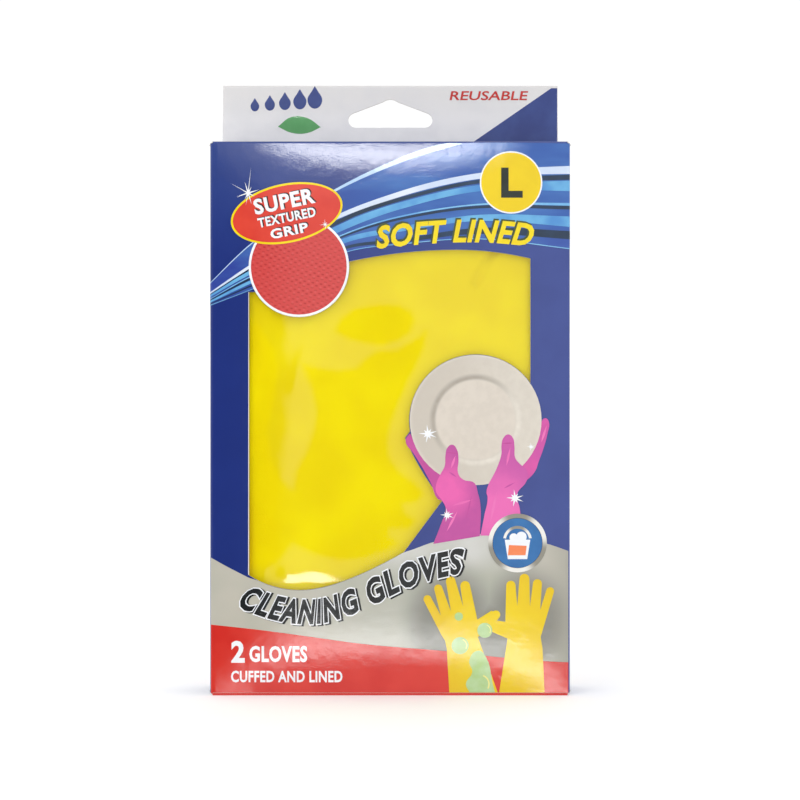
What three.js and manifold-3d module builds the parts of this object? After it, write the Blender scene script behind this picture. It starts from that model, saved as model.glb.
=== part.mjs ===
// Hang-tab window carton that holds a folded pair of nitrile household gloves.
// Millimetres, +Z up. The printed front faces -Y, and the origin is the middle of the base.

import * as THREE from 'three';
import { mergeVertices } from 'three/addons/utils/BufferGeometryUtils.js';
import Module from 'manifold-3d';

const wasm = await Module();
wasm.setup();

// Carton
const width = 130;
const depth = 25;
const height = 200;
const boardThickness = 0.5;
const creaseGap = 0.3; // clearance between two pieces that meet at a crease
const frontY = -depth / 2;
const innerFrontY = frontY + boardThickness;
const innerBackY = depth / 2 - boardThickness;
const innerHalfWidth = width / 2 - boardThickness;

// Hang tab, two layers of board folded over at the top
const tabHeight = 24;
const tabHalfWidth = 62.7;
const tabFoldRadius = 0.65; // outside of the folded edge
const tabFrontLayerY = innerBackY - creaseGap - boardThickness;
const tabFrontLayerFoot = height + 2;
const tabLayerTop = height + tabHeight - tabFoldRadius - creaseGap;

// Hanging slot through both layers of the tab
const slotHalfWidth = 15.7;
const slotBottom = 208.2;
const slotTop = 218.8;
const slotEndRadius = 2.8;
const slotApexHalfWidth = 3;

// Window in the front panel: a straight-sided opening that runs round two printed discs
const windowLeft = -50.9;
const windowRight = 50.7;
const windowLowest = 37.9;
const windowApex = { x: 24.2, z: 160.7 };
const gripDisc = { x: -32.9, z: 154.6, radius: 18.2 };
const plateDisc = { x: 30.9, z: 98.95, radius: 24 };
const filmMargin = 6.5;
const filmThickness = 0.2;

// Tuck closure, the same at the top and at the foot
const lidRearY = 10.9;
const tuckCrease = 0.7; // how far the tuck lip's pivot lies inside the carton's end
const tuckDepth = 10;
const flapLength = 18;
const flapDrop = 0.8; // how far a dust flap's outer face lies inside the carton's end
const creasePivotGap = 0.55; // from a crease's pivot to the piece that turns on it

// Folded gloves
const gloveHalfWidth = 60;
const gloveFoldHalfWidth = 55;
const gloveDepth = 10.2; // outside of the fold, front to back
const gloveWall = 2.4; // two flock-lined walls pressed flat
const gloveFoot = 1.6;
const cuffTop = 186;
const fingerRadius = 11.7;
const fingerPitch = 25;
const fingerTips = [147, 160, 155, 138];
const palmTop = 96;
const leftGloveFrontY = -10.9;
const rightGloveFrontY = -0.4;

const boardMaterial = (color, roughness) =>
  new THREE.MeshStandardMaterial({ color, roughness, metalness: 0 });

const printedBoard = boardMaterial(0x2b4597, 0.25);
const tabBoard = boardMaterial(0xdddbdc, 0.3);
const plainBoard = boardMaterial(0xc9c2b2, 0.8);
const nitrile = boardMaterial(0xe6c80a, 0.45);
const clearFilm = new THREE.MeshStandardMaterial({
  color: 0xf4f6f8,
  roughness: 0.08,
  metalness: 0,
  transparent: true,
  opacity: 0.25,
});

function rectangle(left, bottom, right, top, radius = 0) {
  const shape = new THREE.Shape();
  if (radius === 0) {
    shape.moveTo(left, bottom).lineTo(right, bottom).lineTo(right, top).lineTo(left, top);
    return shape;
  }
  const quarter = Math.PI / 2;
  shape.absarc(right - radius, bottom + radius, radius, -quarter, 0, false);
  shape.absarc(right - radius, top - radius, radius, 0, quarter, false);
  shape.absarc(left + radius, top - radius, radius, quarter, 2 * quarter, false);
  shape.absarc(left + radius, bottom + radius, radius, 2 * quarter, 3 * quarter, false);
  return shape;
}

function outline(points) {
  return new THREE.Shape(points.map(([x, y]) => new THREE.Vector2(x, y)));
}

function sheet(name, shape, thickness, material) {
  const geometry = new THREE.ExtrudeGeometry(shape, {
    depth: thickness,
    bevelEnabled: false,
    curveSegments: 10,
  });
  const mesh = new THREE.Mesh(geometry, material);
  mesh.name = name;
  return mesh;
}

// A shape drawn in X and Z, standing square to Y with its rear face at rearY
function standSquare(mesh, rearY) {
  mesh.rotation.x = Math.PI / 2;
  mesh.position.y = rearY;
  return mesh;
}

// A shape drawn in Y and Z, standing square to X with its left face at leftX
function standSideways(mesh, leftX) {
  mesh.quaternion.set(0.5, 0.5, 0.5, 0.5);
  mesh.position.x = leftX;
  return mesh;
}

function layFlat(mesh, bottomZ) {
  mesh.position.z = bottomZ;
  return mesh;
}

// The window, walked from its lower left corner up, over the top and back along the bottom
function windowOutline() {
  const hole = new THREE.Path();
  const topLeftZ = 145.5;
  const gripStart = Math.asin((topLeftZ - gripDisc.z) / gripDisc.radius);
  const gripEnd = 0.1;
  const plateStart = Math.acos((windowRight - plateDisc.x) / plateDisc.radius);
  const plateEnd = 3.3;
  hole.moveTo(windowLeft, 43.2);
  hole.lineTo(windowLeft, topLeftZ);
  hole.absarc(gripDisc.x, gripDisc.z, gripDisc.radius, Math.PI - gripStart, 2 * Math.PI + gripEnd);
  hole.quadraticCurveTo(4.7, windowApex.z, windowApex.x, windowApex.z);
  hole.quadraticCurveTo(37.4, windowApex.z, windowRight, 157.6);
  hole.absarc(plateDisc.x, plateDisc.z, plateDisc.radius, plateStart, plateEnd);
  hole.lineTo(5.4, 92.8);
  hole.quadraticCurveTo(10.2, 81.5, 18.8, 70.1);
  hole.lineTo(5, 51.6);
  hole.quadraticCurveTo(-19, windowLowest, -32.5, windowLowest);
  hole.quadraticCurveTo(-42.5, windowLowest, windowLeft, 43.2);
  return hole;
}

// A wide low triangle with round ends, so that the carton centres itself on a peg
function slotOutline() {
  const endX = slotHalfWidth - slotEndRadius;
  const endZ = slotBottom + slotEndRadius;
  const shoulder = 1.22; // angle at which the round end runs into the slope
  const slopeTop = slotTop - 1.1;
  const hole = new THREE.Path();
  hole.moveTo(-endX, slotBottom);
  hole.lineTo(endX, slotBottom);
  hole.absarc(endX, endZ, slotEndRadius, -Math.PI / 2, shoulder);
  hole.lineTo(slotApexHalfWidth, slopeTop);
  hole.quadraticCurveTo(0, slotTop + 1.1, -slotApexHalfWidth, slopeTop);
  hole.absarc(-endX, endZ, slotEndRadius, Math.PI - shoulder, (3 * Math.PI) / 2);
  return hole;
}

function frontPanel() {
  const half = width / 2;
  const shape = rectangle(-half, 0, half, height);
  shape.holes.push(windowOutline());
  return standSquare(sheet('front_panel', shape, boardThickness, printedBoard), innerFrontY);
}

function backPanel() {
  const half = width / 2;
  const shape = outline([
    [-half, 0],
    [half, 0],
    [half, height],
    [tabHalfWidth, height],
    [tabHalfWidth, tabLayerTop],
    [-tabHalfWidth, tabLayerTop],
    [-tabHalfWidth, height],
    [-half, height],
  ]);
  shape.holes.push(slotOutline());
  return standSquare(sheet('back_panel', shape, boardThickness, printedBoard), depth / 2);
}

function sidePanel(name, leftX) {
  const foot = flapDrop + boardThickness / 2;
  const halfDepth = innerBackY - creaseGap;
  const shape = rectangle(-halfDepth, foot, halfDepth, height - foot);
  return standSideways(sheet(name, shape, boardThickness, printedBoard), leftX);
}

function glueFlap() {
  const foot = 5;
  const rear = innerBackY - creaseGap;
  const shape = outline([
    [-2, foot + 5],
    [rear, foot],
    [rear, height - foot],
    [-2, height - foot - 5],
  ]);
  return standSideways(
    sheet('glue_flap', shape, boardThickness, plainBoard),
    creaseGap - innerHalfWidth
  );
}

function hangTabFrontLayer() {
  const shape = rectangle(-tabHalfWidth, tabFrontLayerFoot, tabHalfWidth, tabLayerTop);
  shape.holes.push(slotOutline());
  const layer = sheet('hang_tab_front_layer', shape, boardThickness, tabBoard);
  return standSquare(layer, tabFrontLayerY + boardThickness);
}

function hangTabFold() {
  const middleY = depth / 2 - tabFoldRadius;
  const middleZ = height + tabHeight - tabFoldRadius;
  const shape = new THREE.Shape();
  shape.absarc(middleY, middleZ, tabFoldRadius, 0, Math.PI, false);
  shape.absarc(middleY, middleZ, tabFoldRadius - boardThickness, Math.PI, 0, true);
  return standSideways(
    sheet('hang_tab_fold', shape, 2 * tabHalfWidth, tabBoard),
    -tabHalfWidth
  );
}

function windowFilm() {
  const shape = rectangle(
    windowLeft - filmMargin,
    windowLowest - filmMargin,
    windowRight + filmMargin,
    windowApex.z + filmMargin,
    3
  );
  const film = sheet('window_film', shape, filmThickness, clearFilm);
  return standSquare(film, innerFrontY + creaseGap + filmThickness);
}

// The lid, its tuck lip and the two dust flaps of the top. The foot's closure is the same, mirrored.
function closure(end) {
  const atTop = end === 'top';
  const heightOf = (z, thickness) => (atTop ? height - z - thickness : z);
  const half = innerHalfWidth + 0.2;

  const lid = sheet(
    `${end}_lid`,
    rectangle(-half, innerFrontY + creaseGap, half, lidRearY),
    boardThickness,
    printedBoard
  );
  layFlat(lid, heightOf(0, boardThickness));

  const lipRoot = boardThickness + creaseGap;
  const lipTip = tuckCrease + tuckDepth;
  const corner = 4;
  const lipHalf = half - 1.5;
  const lipShape = new THREE.Shape();
  lipShape.moveTo(-lipHalf, lipRoot);
  lipShape.lineTo(-lipHalf, lipTip - corner);
  lipShape.quadraticCurveTo(-lipHalf, lipTip, corner - lipHalf, lipTip);
  lipShape.lineTo(lipHalf - corner, lipTip);
  lipShape.quadraticCurveTo(lipHalf, lipTip, lipHalf, lipTip - corner);
  lipShape.lineTo(lipHalf, lipRoot);
  const lip = standSquare(
    sheet(`${end}_tuck_lip`, lipShape, boardThickness, printedBoard),
    lidRearY
  );
  if (atTop) {
    lip.rotation.x = -Math.PI / 2;
    lip.position.set(0, lidRearY - boardThickness, height);
  }

  const flaps = ['left', 'right'].map((side) => {
    const sign = side === 'left' ? 1 : -1;
    const root = sign * (creasePivotGap - innerHalfWidth - boardThickness / 2);
    const tip = root + sign * (flapLength - creasePivotGap);
    const flapShape = outline([
      [root, -10.8],
      [root, 9],
      [root + sign * 7, 9],
      [tip, 4.8],
      [tip, -1.7],
    ]);
    const flap = sheet(`${end}_${side}_dust_flap`, flapShape, boardThickness, plainBoard);
    return layFlat(flap, heightOf(flapDrop, boardThickness));
  });
  return [lid, lip, ...flaps];
}

function solidOf(shape, thickness, place) {
  const geometry = new THREE.ExtrudeGeometry(shape, {
    depth: thickness,
    bevelEnabled: false,
    curveSegments: 8,
  });
  geometry.deleteAttribute('normal');
  geometry.deleteAttribute('uv');
  geometry.applyMatrix4(place);
  const merged = mergeVertices(geometry);
  const vertProperties = new Float32Array(merged.attributes.position.array);
  const triVerts = new Uint32Array(merged.index.array);
  return new wasm.Manifold(new wasm.Mesh({ numProp: 3, vertProperties, triVerts }));
}

function meshOf(name, solid, material) {
  const { vertProperties, triVerts } = solid.getMesh();
  const geometry = new THREE.BufferGeometry();
  geometry.setAttribute('position', new THREE.BufferAttribute(vertProperties, 3));
  geometry.setIndex(new THREE.BufferAttribute(triVerts, 1));
  geometry.computeVertexNormals();
  const mesh = new THREE.Mesh(geometry, material);
  mesh.name = name;
  return mesh;
}

// The side view of a glove folded once: cuff half in front, hand half behind, fold at the foot
function foldedProfile() {
  const radius = gloveDepth / 2;
  const middleZ = gloveFoot + radius;
  const shape = new THREE.Shape();
  shape.absarc(radius, middleZ, radius, Math.PI, 2 * Math.PI, false);
  shape.lineTo(gloveDepth, cuffTop);
  shape.lineTo(gloveDepth - gloveWall, cuffTop);
  shape.absarc(radius, middleZ, radius - gloveWall, 2 * Math.PI, Math.PI, true);
  shape.lineTo(gloveWall, cuffTop);
  shape.lineTo(0, cuffTop);
  return shape;
}

function cuffOutline() {
  return outline([
    [-gloveFoldHalfWidth, 0],
    [gloveFoldHalfWidth, 0],
    [gloveHalfWidth, cuffTop - 20],
    [gloveHalfWidth, cuffTop],
    [-gloveHalfWidth, cuffTop],
    [-gloveHalfWidth, cuffTop - 20],
  ]);
}

function fingerOutline(x, tip) {
  const shape = new THREE.Shape();
  shape.absarc(x, tip - fingerRadius, fingerRadius, 0, Math.PI, false);
  shape.lineTo(x - fingerRadius, palmTop - 10);
  shape.lineTo(x + fingerRadius, palmTop - 10);
  return shape;
}

function thumbOutline(side) {
  const points = [
    [side * 30, 50],
    [side * 58, 92],
    [side * 57, 106],
    [side * 46, 108],
    [side * 20, 80],
  ];
  return outline(side > 0 ? points : points.reverse());
}

// Folds one glove from its side view and the outlines of its two halves
function foldedGlove(name, thumbSide, frontFaceY) {
  const sideways = new THREE.Matrix4().makeBasis(
    new THREE.Vector3(0, 1, 0),
    new THREE.Vector3(0, 0, 1),
    new THREE.Vector3(1, 0, 0)
  );
  sideways.setPosition(-gloveHalfWidth, 0, 0);
  const square = (rearY) =>
    new THREE.Matrix4().makeRotationX(Math.PI / 2).setPosition(0, rearY, 0);
  const halfDepth = gloveDepth / 2;
  const overlap = 0.5;

  let hand = solidOf(
    outline([
      [-gloveFoldHalfWidth, 0],
      [gloveFoldHalfWidth, 0],
      [50, palmTop],
      [-50, palmTop],
    ]),
    halfDepth + overlap,
    square(gloveDepth + overlap)
  );
  fingerTips.forEach((tip, index) => {
    const x = thumbSide * fingerPitch * (1.5 - index);
    hand = hand.add(solidOf(fingerOutline(x, tip), halfDepth, square(gloveDepth + overlap)));
  });
  const thumb = solidOf(thumbOutline(thumbSide), halfDepth, square(gloveDepth + overlap));
  const cuff = solidOf(cuffOutline(), halfDepth + overlap, square(halfDepth));
  const strip = solidOf(foldedProfile(), 2 * gloveHalfWidth, sideways);
  const glove = meshOf(name, strip.intersect(hand.add(thumb).add(cuff)), nitrile);
  glove.position.y = frontFaceY;
  return glove;
}

const carton = new THREE.Group();
carton.add(
  frontPanel(),
  backPanel(),
  sidePanel('left_side_panel', -width / 2),
  sidePanel('right_side_panel', innerHalfWidth),
  glueFlap(),
  hangTabFrontLayer(),
  hangTabFold(),
  windowFilm(),
  ...closure('top'),
  ...closure('bottom'),
  foldedGlove('left_glove', 1, leftGloveFrontY),
  foldedGlove('right_glove', -1, rightGloveFrontY)
);

export default carton;
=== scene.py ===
# Window carton with a hang tab and a folded pair of nitrile household gloves, on a pale floor
import math
import bpy
from mathutils import Matrix, Vector, noise


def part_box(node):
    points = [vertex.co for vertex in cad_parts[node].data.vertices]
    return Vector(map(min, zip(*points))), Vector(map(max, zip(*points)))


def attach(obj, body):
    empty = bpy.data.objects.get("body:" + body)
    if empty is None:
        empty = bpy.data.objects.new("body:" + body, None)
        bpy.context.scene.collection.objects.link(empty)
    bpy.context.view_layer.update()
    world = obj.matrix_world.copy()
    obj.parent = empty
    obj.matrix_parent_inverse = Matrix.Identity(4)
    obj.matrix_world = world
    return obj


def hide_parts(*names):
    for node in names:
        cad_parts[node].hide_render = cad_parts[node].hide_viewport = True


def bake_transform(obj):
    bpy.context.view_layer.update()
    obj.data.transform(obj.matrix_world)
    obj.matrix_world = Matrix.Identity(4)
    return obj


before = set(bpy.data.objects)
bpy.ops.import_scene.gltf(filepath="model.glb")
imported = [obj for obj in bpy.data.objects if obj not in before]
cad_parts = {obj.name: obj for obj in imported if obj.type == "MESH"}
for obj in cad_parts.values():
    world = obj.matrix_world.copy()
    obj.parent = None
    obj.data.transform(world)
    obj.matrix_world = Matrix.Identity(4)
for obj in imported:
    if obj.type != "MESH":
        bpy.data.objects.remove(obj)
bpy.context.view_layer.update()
mm = 0.001


# Small tools

def clearSelection():
    if bpy.context.mode != "OBJECT":
        bpy.ops.object.mode_set(mode="OBJECT")
    bpy.ops.object.select_all(action="DESELECT")


def pick(obj):  # the only selected and the active object
    clearSelection()
    obj.select_set(True)
    bpy.context.view_layer.objects.active = obj
    return obj


def newest(name):  # the object that an operator has just added
    obj = bpy.context.active_object
    obj.name = name
    obj.data.name = name
    return obj


def settle(obj):  # puts an object's place into its mesh
    pick(obj)
    bpy.ops.object.transform_apply(location=True, rotation=True, scale=True)
    return obj


def finishModifier(obj, kind, **settings):
    pick(obj)
    modifier = obj.modifiers.new(kind.title(), kind)
    for name, value in settings.items():
        setattr(modifier, name, value)
    bpy.ops.object.modifier_apply(modifier=modifier.name)
    return obj


def editAll(obj, *steps):  # runs edit mode steps with everything selected
    pick(obj)
    bpy.ops.object.mode_set(mode="EDIT")
    bpy.ops.mesh.select_all(action="SELECT")
    for step in steps:
        step()
    bpy.ops.object.mode_set(mode="OBJECT")
    return obj


def editSome(obj, kind, wanted, *steps):  # the same on chosen faces ("FACE") or edges ("EDGE")
    pick(obj)
    mesh = obj.data
    bpy.ops.object.mode_set(mode="EDIT")
    bpy.ops.mesh.select_mode(type=kind)
    bpy.ops.mesh.select_all(action="DESELECT")
    bpy.ops.object.mode_set(mode="OBJECT")
    for item in (mesh.polygons if kind == "FACE" else mesh.edges):
        item.select = wanted(item)
    bpy.ops.object.mode_set(mode="EDIT")
    for step in steps:
        step()
    bpy.ops.object.mode_set(mode="OBJECT")
    return obj


def middle(mesh, edge):
    return (mesh.vertices[edge.vertices[0]].co + mesh.vertices[edge.vertices[1]].co) / 2


def moveVertices(obj, place):
    for vertex in obj.data.vertices:
        vertex.co = place(vertex.co)
    obj.data.update()
    return obj


def smooth(obj, degrees=35):
    pick(obj)
    bpy.ops.object.shade_smooth_by_angle(angle=math.radians(degrees))
    return obj


def weld(obj, distance=0.0005):
    return editAll(
        obj,
        lambda: bpy.ops.mesh.remove_doubles(threshold=distance),
        lambda: bpy.ops.mesh.normals_make_consistent(inside=False),
    )


def join(name, pieces):
    clearSelection()
    for piece in pieces:
        piece.select_set(True)
    bpy.context.view_layer.objects.active = pieces[0]
    bpy.ops.object.join()
    return newest(name)


def copyOf(obj, name):
    pick(obj)
    bpy.ops.object.duplicate(linked=False)
    return newest(name)


def paint(obj, *materials):
    obj.data.materials.clear()
    for material in materials:
        obj.data.materials.append(material)
    return obj


def smoothStep(low, high, value):
    t = min(1, max(0, (value - low) / (high - low)))
    return t * t * (3 - 2 * t)


def hill(x, z, centreX, centreZ, reachX, reachZ):  # a soft round rise, 1 at its top
    return math.exp(-((x - centreX) / reachX) ** 2 - ((z - centreZ) / reachZ) ** 2)


def ridge(x, z, start, end, reach):  # a soft long rise along a line, 1 on the line
    along = Vector(end) - Vector(start)
    share = max(0, min(1, (Vector((x, z)) - Vector(start)).dot(along) / along.length_squared))
    away = (Vector((x, z)) - Vector(start) - along * share).length
    return math.exp(-(away / reach) ** 2)


def heightAt(points, x):  # a smooth line z(x) through points, in the points' own units
    if x <= points[0][0]:
        index = 0
    elif x >= points[-1][0]:
        index = len(points) - 2
    else:
        index = next(i for i in range(len(points) - 1) if points[i][0] <= x <= points[i + 1][0])
    left, right = points[index], points[index + 1]
    before = points[max(0, index - 1)]
    after = points[min(len(points) - 1, index + 2)]
    span = right[0] - left[0]
    slopeLeft = (right[1] - before[1]) / (right[0] - before[0])
    slopeRight = (after[1] - left[1]) / (after[0] - left[0])
    t = min(1, max(0, (x - left[0]) / span))
    return (
        (2 * t**3 - 3 * t**2 + 1) * left[1]
        + (t**3 - 2 * t**2 + t) * span * slopeLeft
        + (3 * t**2 - 2 * t**3) * right[1]
        + (t**3 - t**2) * span * slopeRight
    )


# Material tools

def hexColour(code):  # an sRGB hex value as linear colour
    parts = [int(code[i:i + 2], 16) / 255 for i in (0, 2, 4)]
    return [p / 12.92 if p <= 0.04045 else ((p + 0.055) / 1.055) ** 2.4 for p in parts] + [1]


def addNode(tree, kind, settings=None, links=None):
    node = tree.nodes.new(kind)
    for name, value in (settings or {}).items():
        if isinstance(name, str) and hasattr(node, name):
            setattr(node, name, value)
        else:
            node.inputs[name].default_value = value
    for name, socket in (links or {}).items():
        tree.links.new(socket, node.inputs[name])
    return node


def newMaterial(name, settings):
    material = bpy.data.materials.new(name)
    material.use_nodes = True
    shader = material.node_tree.nodes["Principled BSDF"]
    for socket, value in settings.items():
        shader.inputs[socket].default_value = value
    return material, material.node_tree, shader


def objectPlace(tree):
    return addNode(tree, "ShaderNodeTexCoord").outputs["Object"]


def splitPlace(tree):  # the object's own X, Y and Z
    return addNode(tree, "ShaderNodeSeparateXYZ", None, {"Vector": objectPlace(tree)})


def distanceFrom(tree, centre, squash=1.0):  # metres from a place across and up, given in millimetres
    move = {"Location": (-centre[0] * mm, 0, -centre[1] * mm * squash), "Scale": (1, 0, squash)}
    place = addNode(tree, "ShaderNodeMapping", move, {"Vector": objectPlace(tree)})
    away = addNode(tree, "ShaderNodeVectorMath", {"operation": "LENGTH"}, {0: place.outputs[0]})
    return away.outputs["Value"]


def noiseAt(tree, size, detail=2.0, stretch=(1, 1, 1)):  # noise with features of that size in metres
    place = addNode(tree, "ShaderNodeMapping", {"Scale": stretch}, {"Vector": objectPlace(tree)})
    settings = {"Scale": 1 / size, "Detail": detail}
    return addNode(tree, "ShaderNodeTexNoise", settings, {"Vector": place.outputs[0]}).outputs["Fac"]


def mixColours(tree, share, first, second):  # first and second are hex values or colour sockets
    node = addNode(tree, "ShaderNodeMix", {"data_type": "RGBA"}, {0: share})
    for index, colour in ((6, first), (7, second)):
        if isinstance(colour, str):
            node.inputs[index].default_value = hexColour(colour)
        else:
            tree.links.new(colour, node.inputs[index])
    return node.outputs[2]


def ramp(tree, value, low, high, bottom=0.0, top=1.0, smooth=True):
    settings = {"From Min": low, "From Max": high, "To Min": bottom, "To Max": top}
    node = addNode(tree, "ShaderNodeMapRange", settings, {"Value": value})
    node.interpolation_type = "SMOOTHSTEP" if smooth else "LINEAR"
    return node.outputs["Result"]


def maths(tree, operation, first, second=None):  # each is a number or a socket
    node = addNode(tree, "ShaderNodeMath", {"operation": operation})
    for index, value in enumerate(v for v in (first, second) if v is not None):
        if isinstance(value, (int, float)):
            node.inputs[index].default_value = value
        else:
            tree.links.new(value, node.inputs[index])
    return node.outputs[0]


# Where the printed walls lie, in millimetres. A wall's own numbers are across, depth in, and up.
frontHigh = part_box("front_panel")[1] / mm
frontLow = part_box("front_panel")[0] / mm
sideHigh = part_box("right_side_panel")[1] / mm
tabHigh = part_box("hang_tab_fold")[1] / mm
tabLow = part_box("hang_tab_front_layer")[0] / mm
carton = {
    "width": frontHigh.x - frontLow.x,
    "height": frontHigh.z,
    "board": 0.45,        # folding boxboard
    "crease": 0.8,        # outside radius of a fold
    "flat": frontHigh.x - 0.8,
    "face": -frontLow.y,
    "sideFlat": sideHigh.y,
    "bulge": 1.1,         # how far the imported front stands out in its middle
    "inkStep": 0.03,      # one printed layer above the last, thicker than real ink so that it shows
    "ink": 0.015,
    "tabFold": 0.65,      # outside radius of the fold at the tab's head
    "flapCrease": 0.6,    # outside radius of the creases to the dust flaps
    "sagReach": 70,       # a lid's sag would end this far from its middle
}
walls = {  # turn about Z, distance of the face from the middle, and the bulge of each wall
    "front": (0, carton["face"], carton["bulge"]),
    "right": (90, carton["width"] / 2, 0.25),
    "back": (180, carton["face"], 0.5),
    "left": (270, carton["width"] / 2, 0.25),
}
cornerRoll = carton["crease"] * math.pi / 2


def wallBulge(across, up, halfWidth, amount):
    side = 1 - min(1, abs(across / halfWidth)) ** 2.6
    level = (up - carton["height"] / 2) / (carton["height"] / 2 - carton["crease"])
    end = 1 - min(1, abs(level)) ** 7
    ripple = 0.07 * noise.noise(Vector((across / 34, up / 34, halfWidth)))
    return side * end * (1 + ripple) * amount


def tabBow(up):  # the hang tab carries a slight cross bend above the carton
    return 0.05 * math.exp(-((up - 213.4) / 1.1) ** 2)


def onWall(side):
    turn, face, amount = walls[side]
    wide = side in ("front", "back")
    flat = carton["flat"] if wide else carton["sideFlat"]
    spin = Matrix.Rotation(math.radians(turn), 3, "Z")

    def place(across, depth, up):
        if abs(across) <= flat or not wide:
            bow = -tabBow(up) if side == "back" and up > carton["height"] else 0
            point = Vector((across, bow + depth - face - wallBulge(across, up, flat, amount), up))
        else:  # rolls round the corner crease
            angle = (abs(across) - flat) / carton["crease"]
            radius = carton["crease"] - depth
            reach = math.copysign(flat + radius * math.sin(angle), across)
            point = Vector((reach, carton["crease"] - face - radius * math.cos(angle), up))
        return spin @ point * mm
    return place


def onTab(across, depth, up):  # the front layer of the hang tab
    return Vector((across, tabLow.y + tabBow(up) + depth, up)) * mm


def wrapped(obj, place):  # a flat piece in the XZ plane, millimetres, onto its wall
    return moveVertices(obj, lambda point: place(point.x, point.y, point.z))


# The print's colours by place. Offset ink under an aqueous gloss varnish: saturated flat colour with a
# hard clear coat, finely pebbled by the board's fibres, so lamps break into speckles at their edges.
varnish = {"Roughness": 0.5, "Specular IOR Level": 0.05, "Coat Weight": 1.0, "Coat Roughness": 0.04,
           "Coat IOR": 1.5}
pebble = {"fibre": 0.5 * mm, "fibreHeight": 0.013 * mm, "peel": 4.5 * mm, "peelHeight": 0.03 * mm}


def addVarnish(tree, shader, strength=1.0):
    fine = noiseAt(tree, pebble["fibre"], 2.0)
    broad = noiseAt(tree, pebble["peel"], 1.5)
    peel = addNode(tree, "ShaderNodeBump", {"Distance": pebble["peelHeight"]}, {"Height": broad})
    settings = {"Distance": pebble["fibreHeight"] * strength}
    links = {"Height": fine, "Normal": peel.outputs[0]}
    bump = addNode(tree, "ShaderNodeBump", settings, links)
    tree.links.new(bump.outputs[0], shader.inputs["Coat Normal"])
    tree.links.new(bump.outputs[0], shader.inputs["Normal"])


def varnished(material, shader, colour, strength=1.0):  # the colour under its varnish
    tree = material.node_tree
    tree.links.new(colour, shader.inputs["Base Color"])
    addVarnish(tree, shader, strength)
    return material


def inkMaterial(name, code, shade, size=9 * mm, detail=3.0):  # mottles slowly between two near colours
    material, tree, shader = newMaterial(name, varnish)
    share = ramp(tree, noiseAt(tree, size, detail), 0.3, 0.7)
    return varnished(material, shader, mixColours(tree, share, code, shade))


def blueBoardMaterial():  # solid blue print that runs paler to the right and towards the top
    material, tree, shader = newMaterial("blueVarnishedBoard", varnish)
    split = splitPlace(tree)
    across = ramp(tree, split.outputs["X"], -0.055, 0.06)
    colour = mixColours(tree, across, "1A2E78", "3A4A8E")
    top = ramp(tree, split.outputs["Z"], 0.15, 0.2, 0.0, 0.45)
    colour = mixColours(tree, top, colour, "3F5593")
    mottle = ramp(tree, noiseAt(tree, 14 * mm, 3.0), 0.3, 0.75, 0.0, 0.16)
    colour = mixColours(tree, mottle, colour, "12205C")
    return varnished(material, shader, colour)


def tabBoardMaterial():  # pale silver print of the hang tab
    material, tree, shader = newMaterial("silverVarnishedBoard", varnish)
    split = splitPlace(tree)
    share = ramp(tree, split.outputs["Z"], 0.2, 0.224)
    colour = mixColours(tree, share, "F2F1F1", "DAD8D7")
    mottle = ramp(tree, noiseAt(tree, 7 * mm, 3.0), 0.35, 0.7, 0.0, 0.2)
    return varnished(material, shader, mixColours(tree, mottle, colour, "CFD0D4"), 1.3)


def plainBoardMaterial():  # uncoated grey-white back of the boxboard: matt, with long pulp fibres
    settings = {"Roughness": 0.85, "Specular IOR Level": 0.3}
    material, tree, shader = newMaterial("uncoatedBoardBack", settings)
    fibres = noiseAt(tree, 0.8 * mm, 4.0, (1, 1, 0.3))
    specks = noiseAt(tree, 2.2 * mm, 2.0)
    colour = mixColours(tree, ramp(tree, fibres, 0.3, 0.7), "CFCABF", "BDB7AA")
    colour = mixColours(tree, ramp(tree, specks, 0.68, 0.74, 0.0, 0.6), colour, "8F8A80")
    tree.links.new(colour, shader.inputs["Base Color"])
    bump = addNode(tree, "ShaderNodeBump", {"Distance": 0.03 * mm}, {"Height": fibres})
    tree.links.new(bump.outputs[0], shader.inputs["Normal"])
    return material


def cutBoardMaterial():  # die-cut edge of the board: torn white pulp
    material, tree, shader = newMaterial("cutBoardEdge", {"Roughness": 0.9, "Specular IOR Level": 0.2})
    layers = noiseAt(tree, 0.15 * mm, 2.0)
    colour = mixColours(tree, ramp(tree, layers, 0.3, 0.7), "EFEDE8", "D2CDC4")
    tree.links.new(colour, shader.inputs["Base Color"])
    return material


blueBoard = blueBoardMaterial()
tabBoard = tabBoardMaterial()
plainBoard = plainBoardMaterial()
cutBoard = cutBoardMaterial()


# Boards

def flatBoard(name, low, high, cell, printed):  # a flat sheet in the XZ plane, millimetres, print at -Y
    size = (high[0] - low[0], high[1] - low[1])
    clearSelection()
    bpy.ops.mesh.primitive_grid_add(
        x_subdivisions=max(1, round(size[0] / cell)), y_subdivisions=max(1, round(size[1] / cell)), size=1,
        location=((low[0] + high[0]) / 2, 0, (low[1] + high[1]) / 2), rotation=(math.pi / 2, 0, 0))
    obj = newest(name)
    obj.scale = (size[0], size[1], 1)
    settle(obj)
    return paint(obj, printed, plainBoard, cutBoard)


def cutPlanes(obj, axis, places):  # adds lines of edges across a piece at places along an axis
    normal = [1 if i == axis else 0 for i in range(3)]
    for place in places:
        point = [place if i == axis else 0 for i in range(3)]
        editAll(obj, lambda: bpy.ops.mesh.bisect(plane_co=point, plane_no=normal))
    return obj


def thicken(obj, depth):  # the print keeps its place and the board grows inwards
    finishModifier(obj, "SOLIDIFY", thickness=depth, offset=-1, use_even_offset=True)
    for face in obj.data.polygons:
        face.material_index = 0 if face.normal.y < -0.5 else 1 if face.normal.y > 0.5 else 2
    return obj


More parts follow.
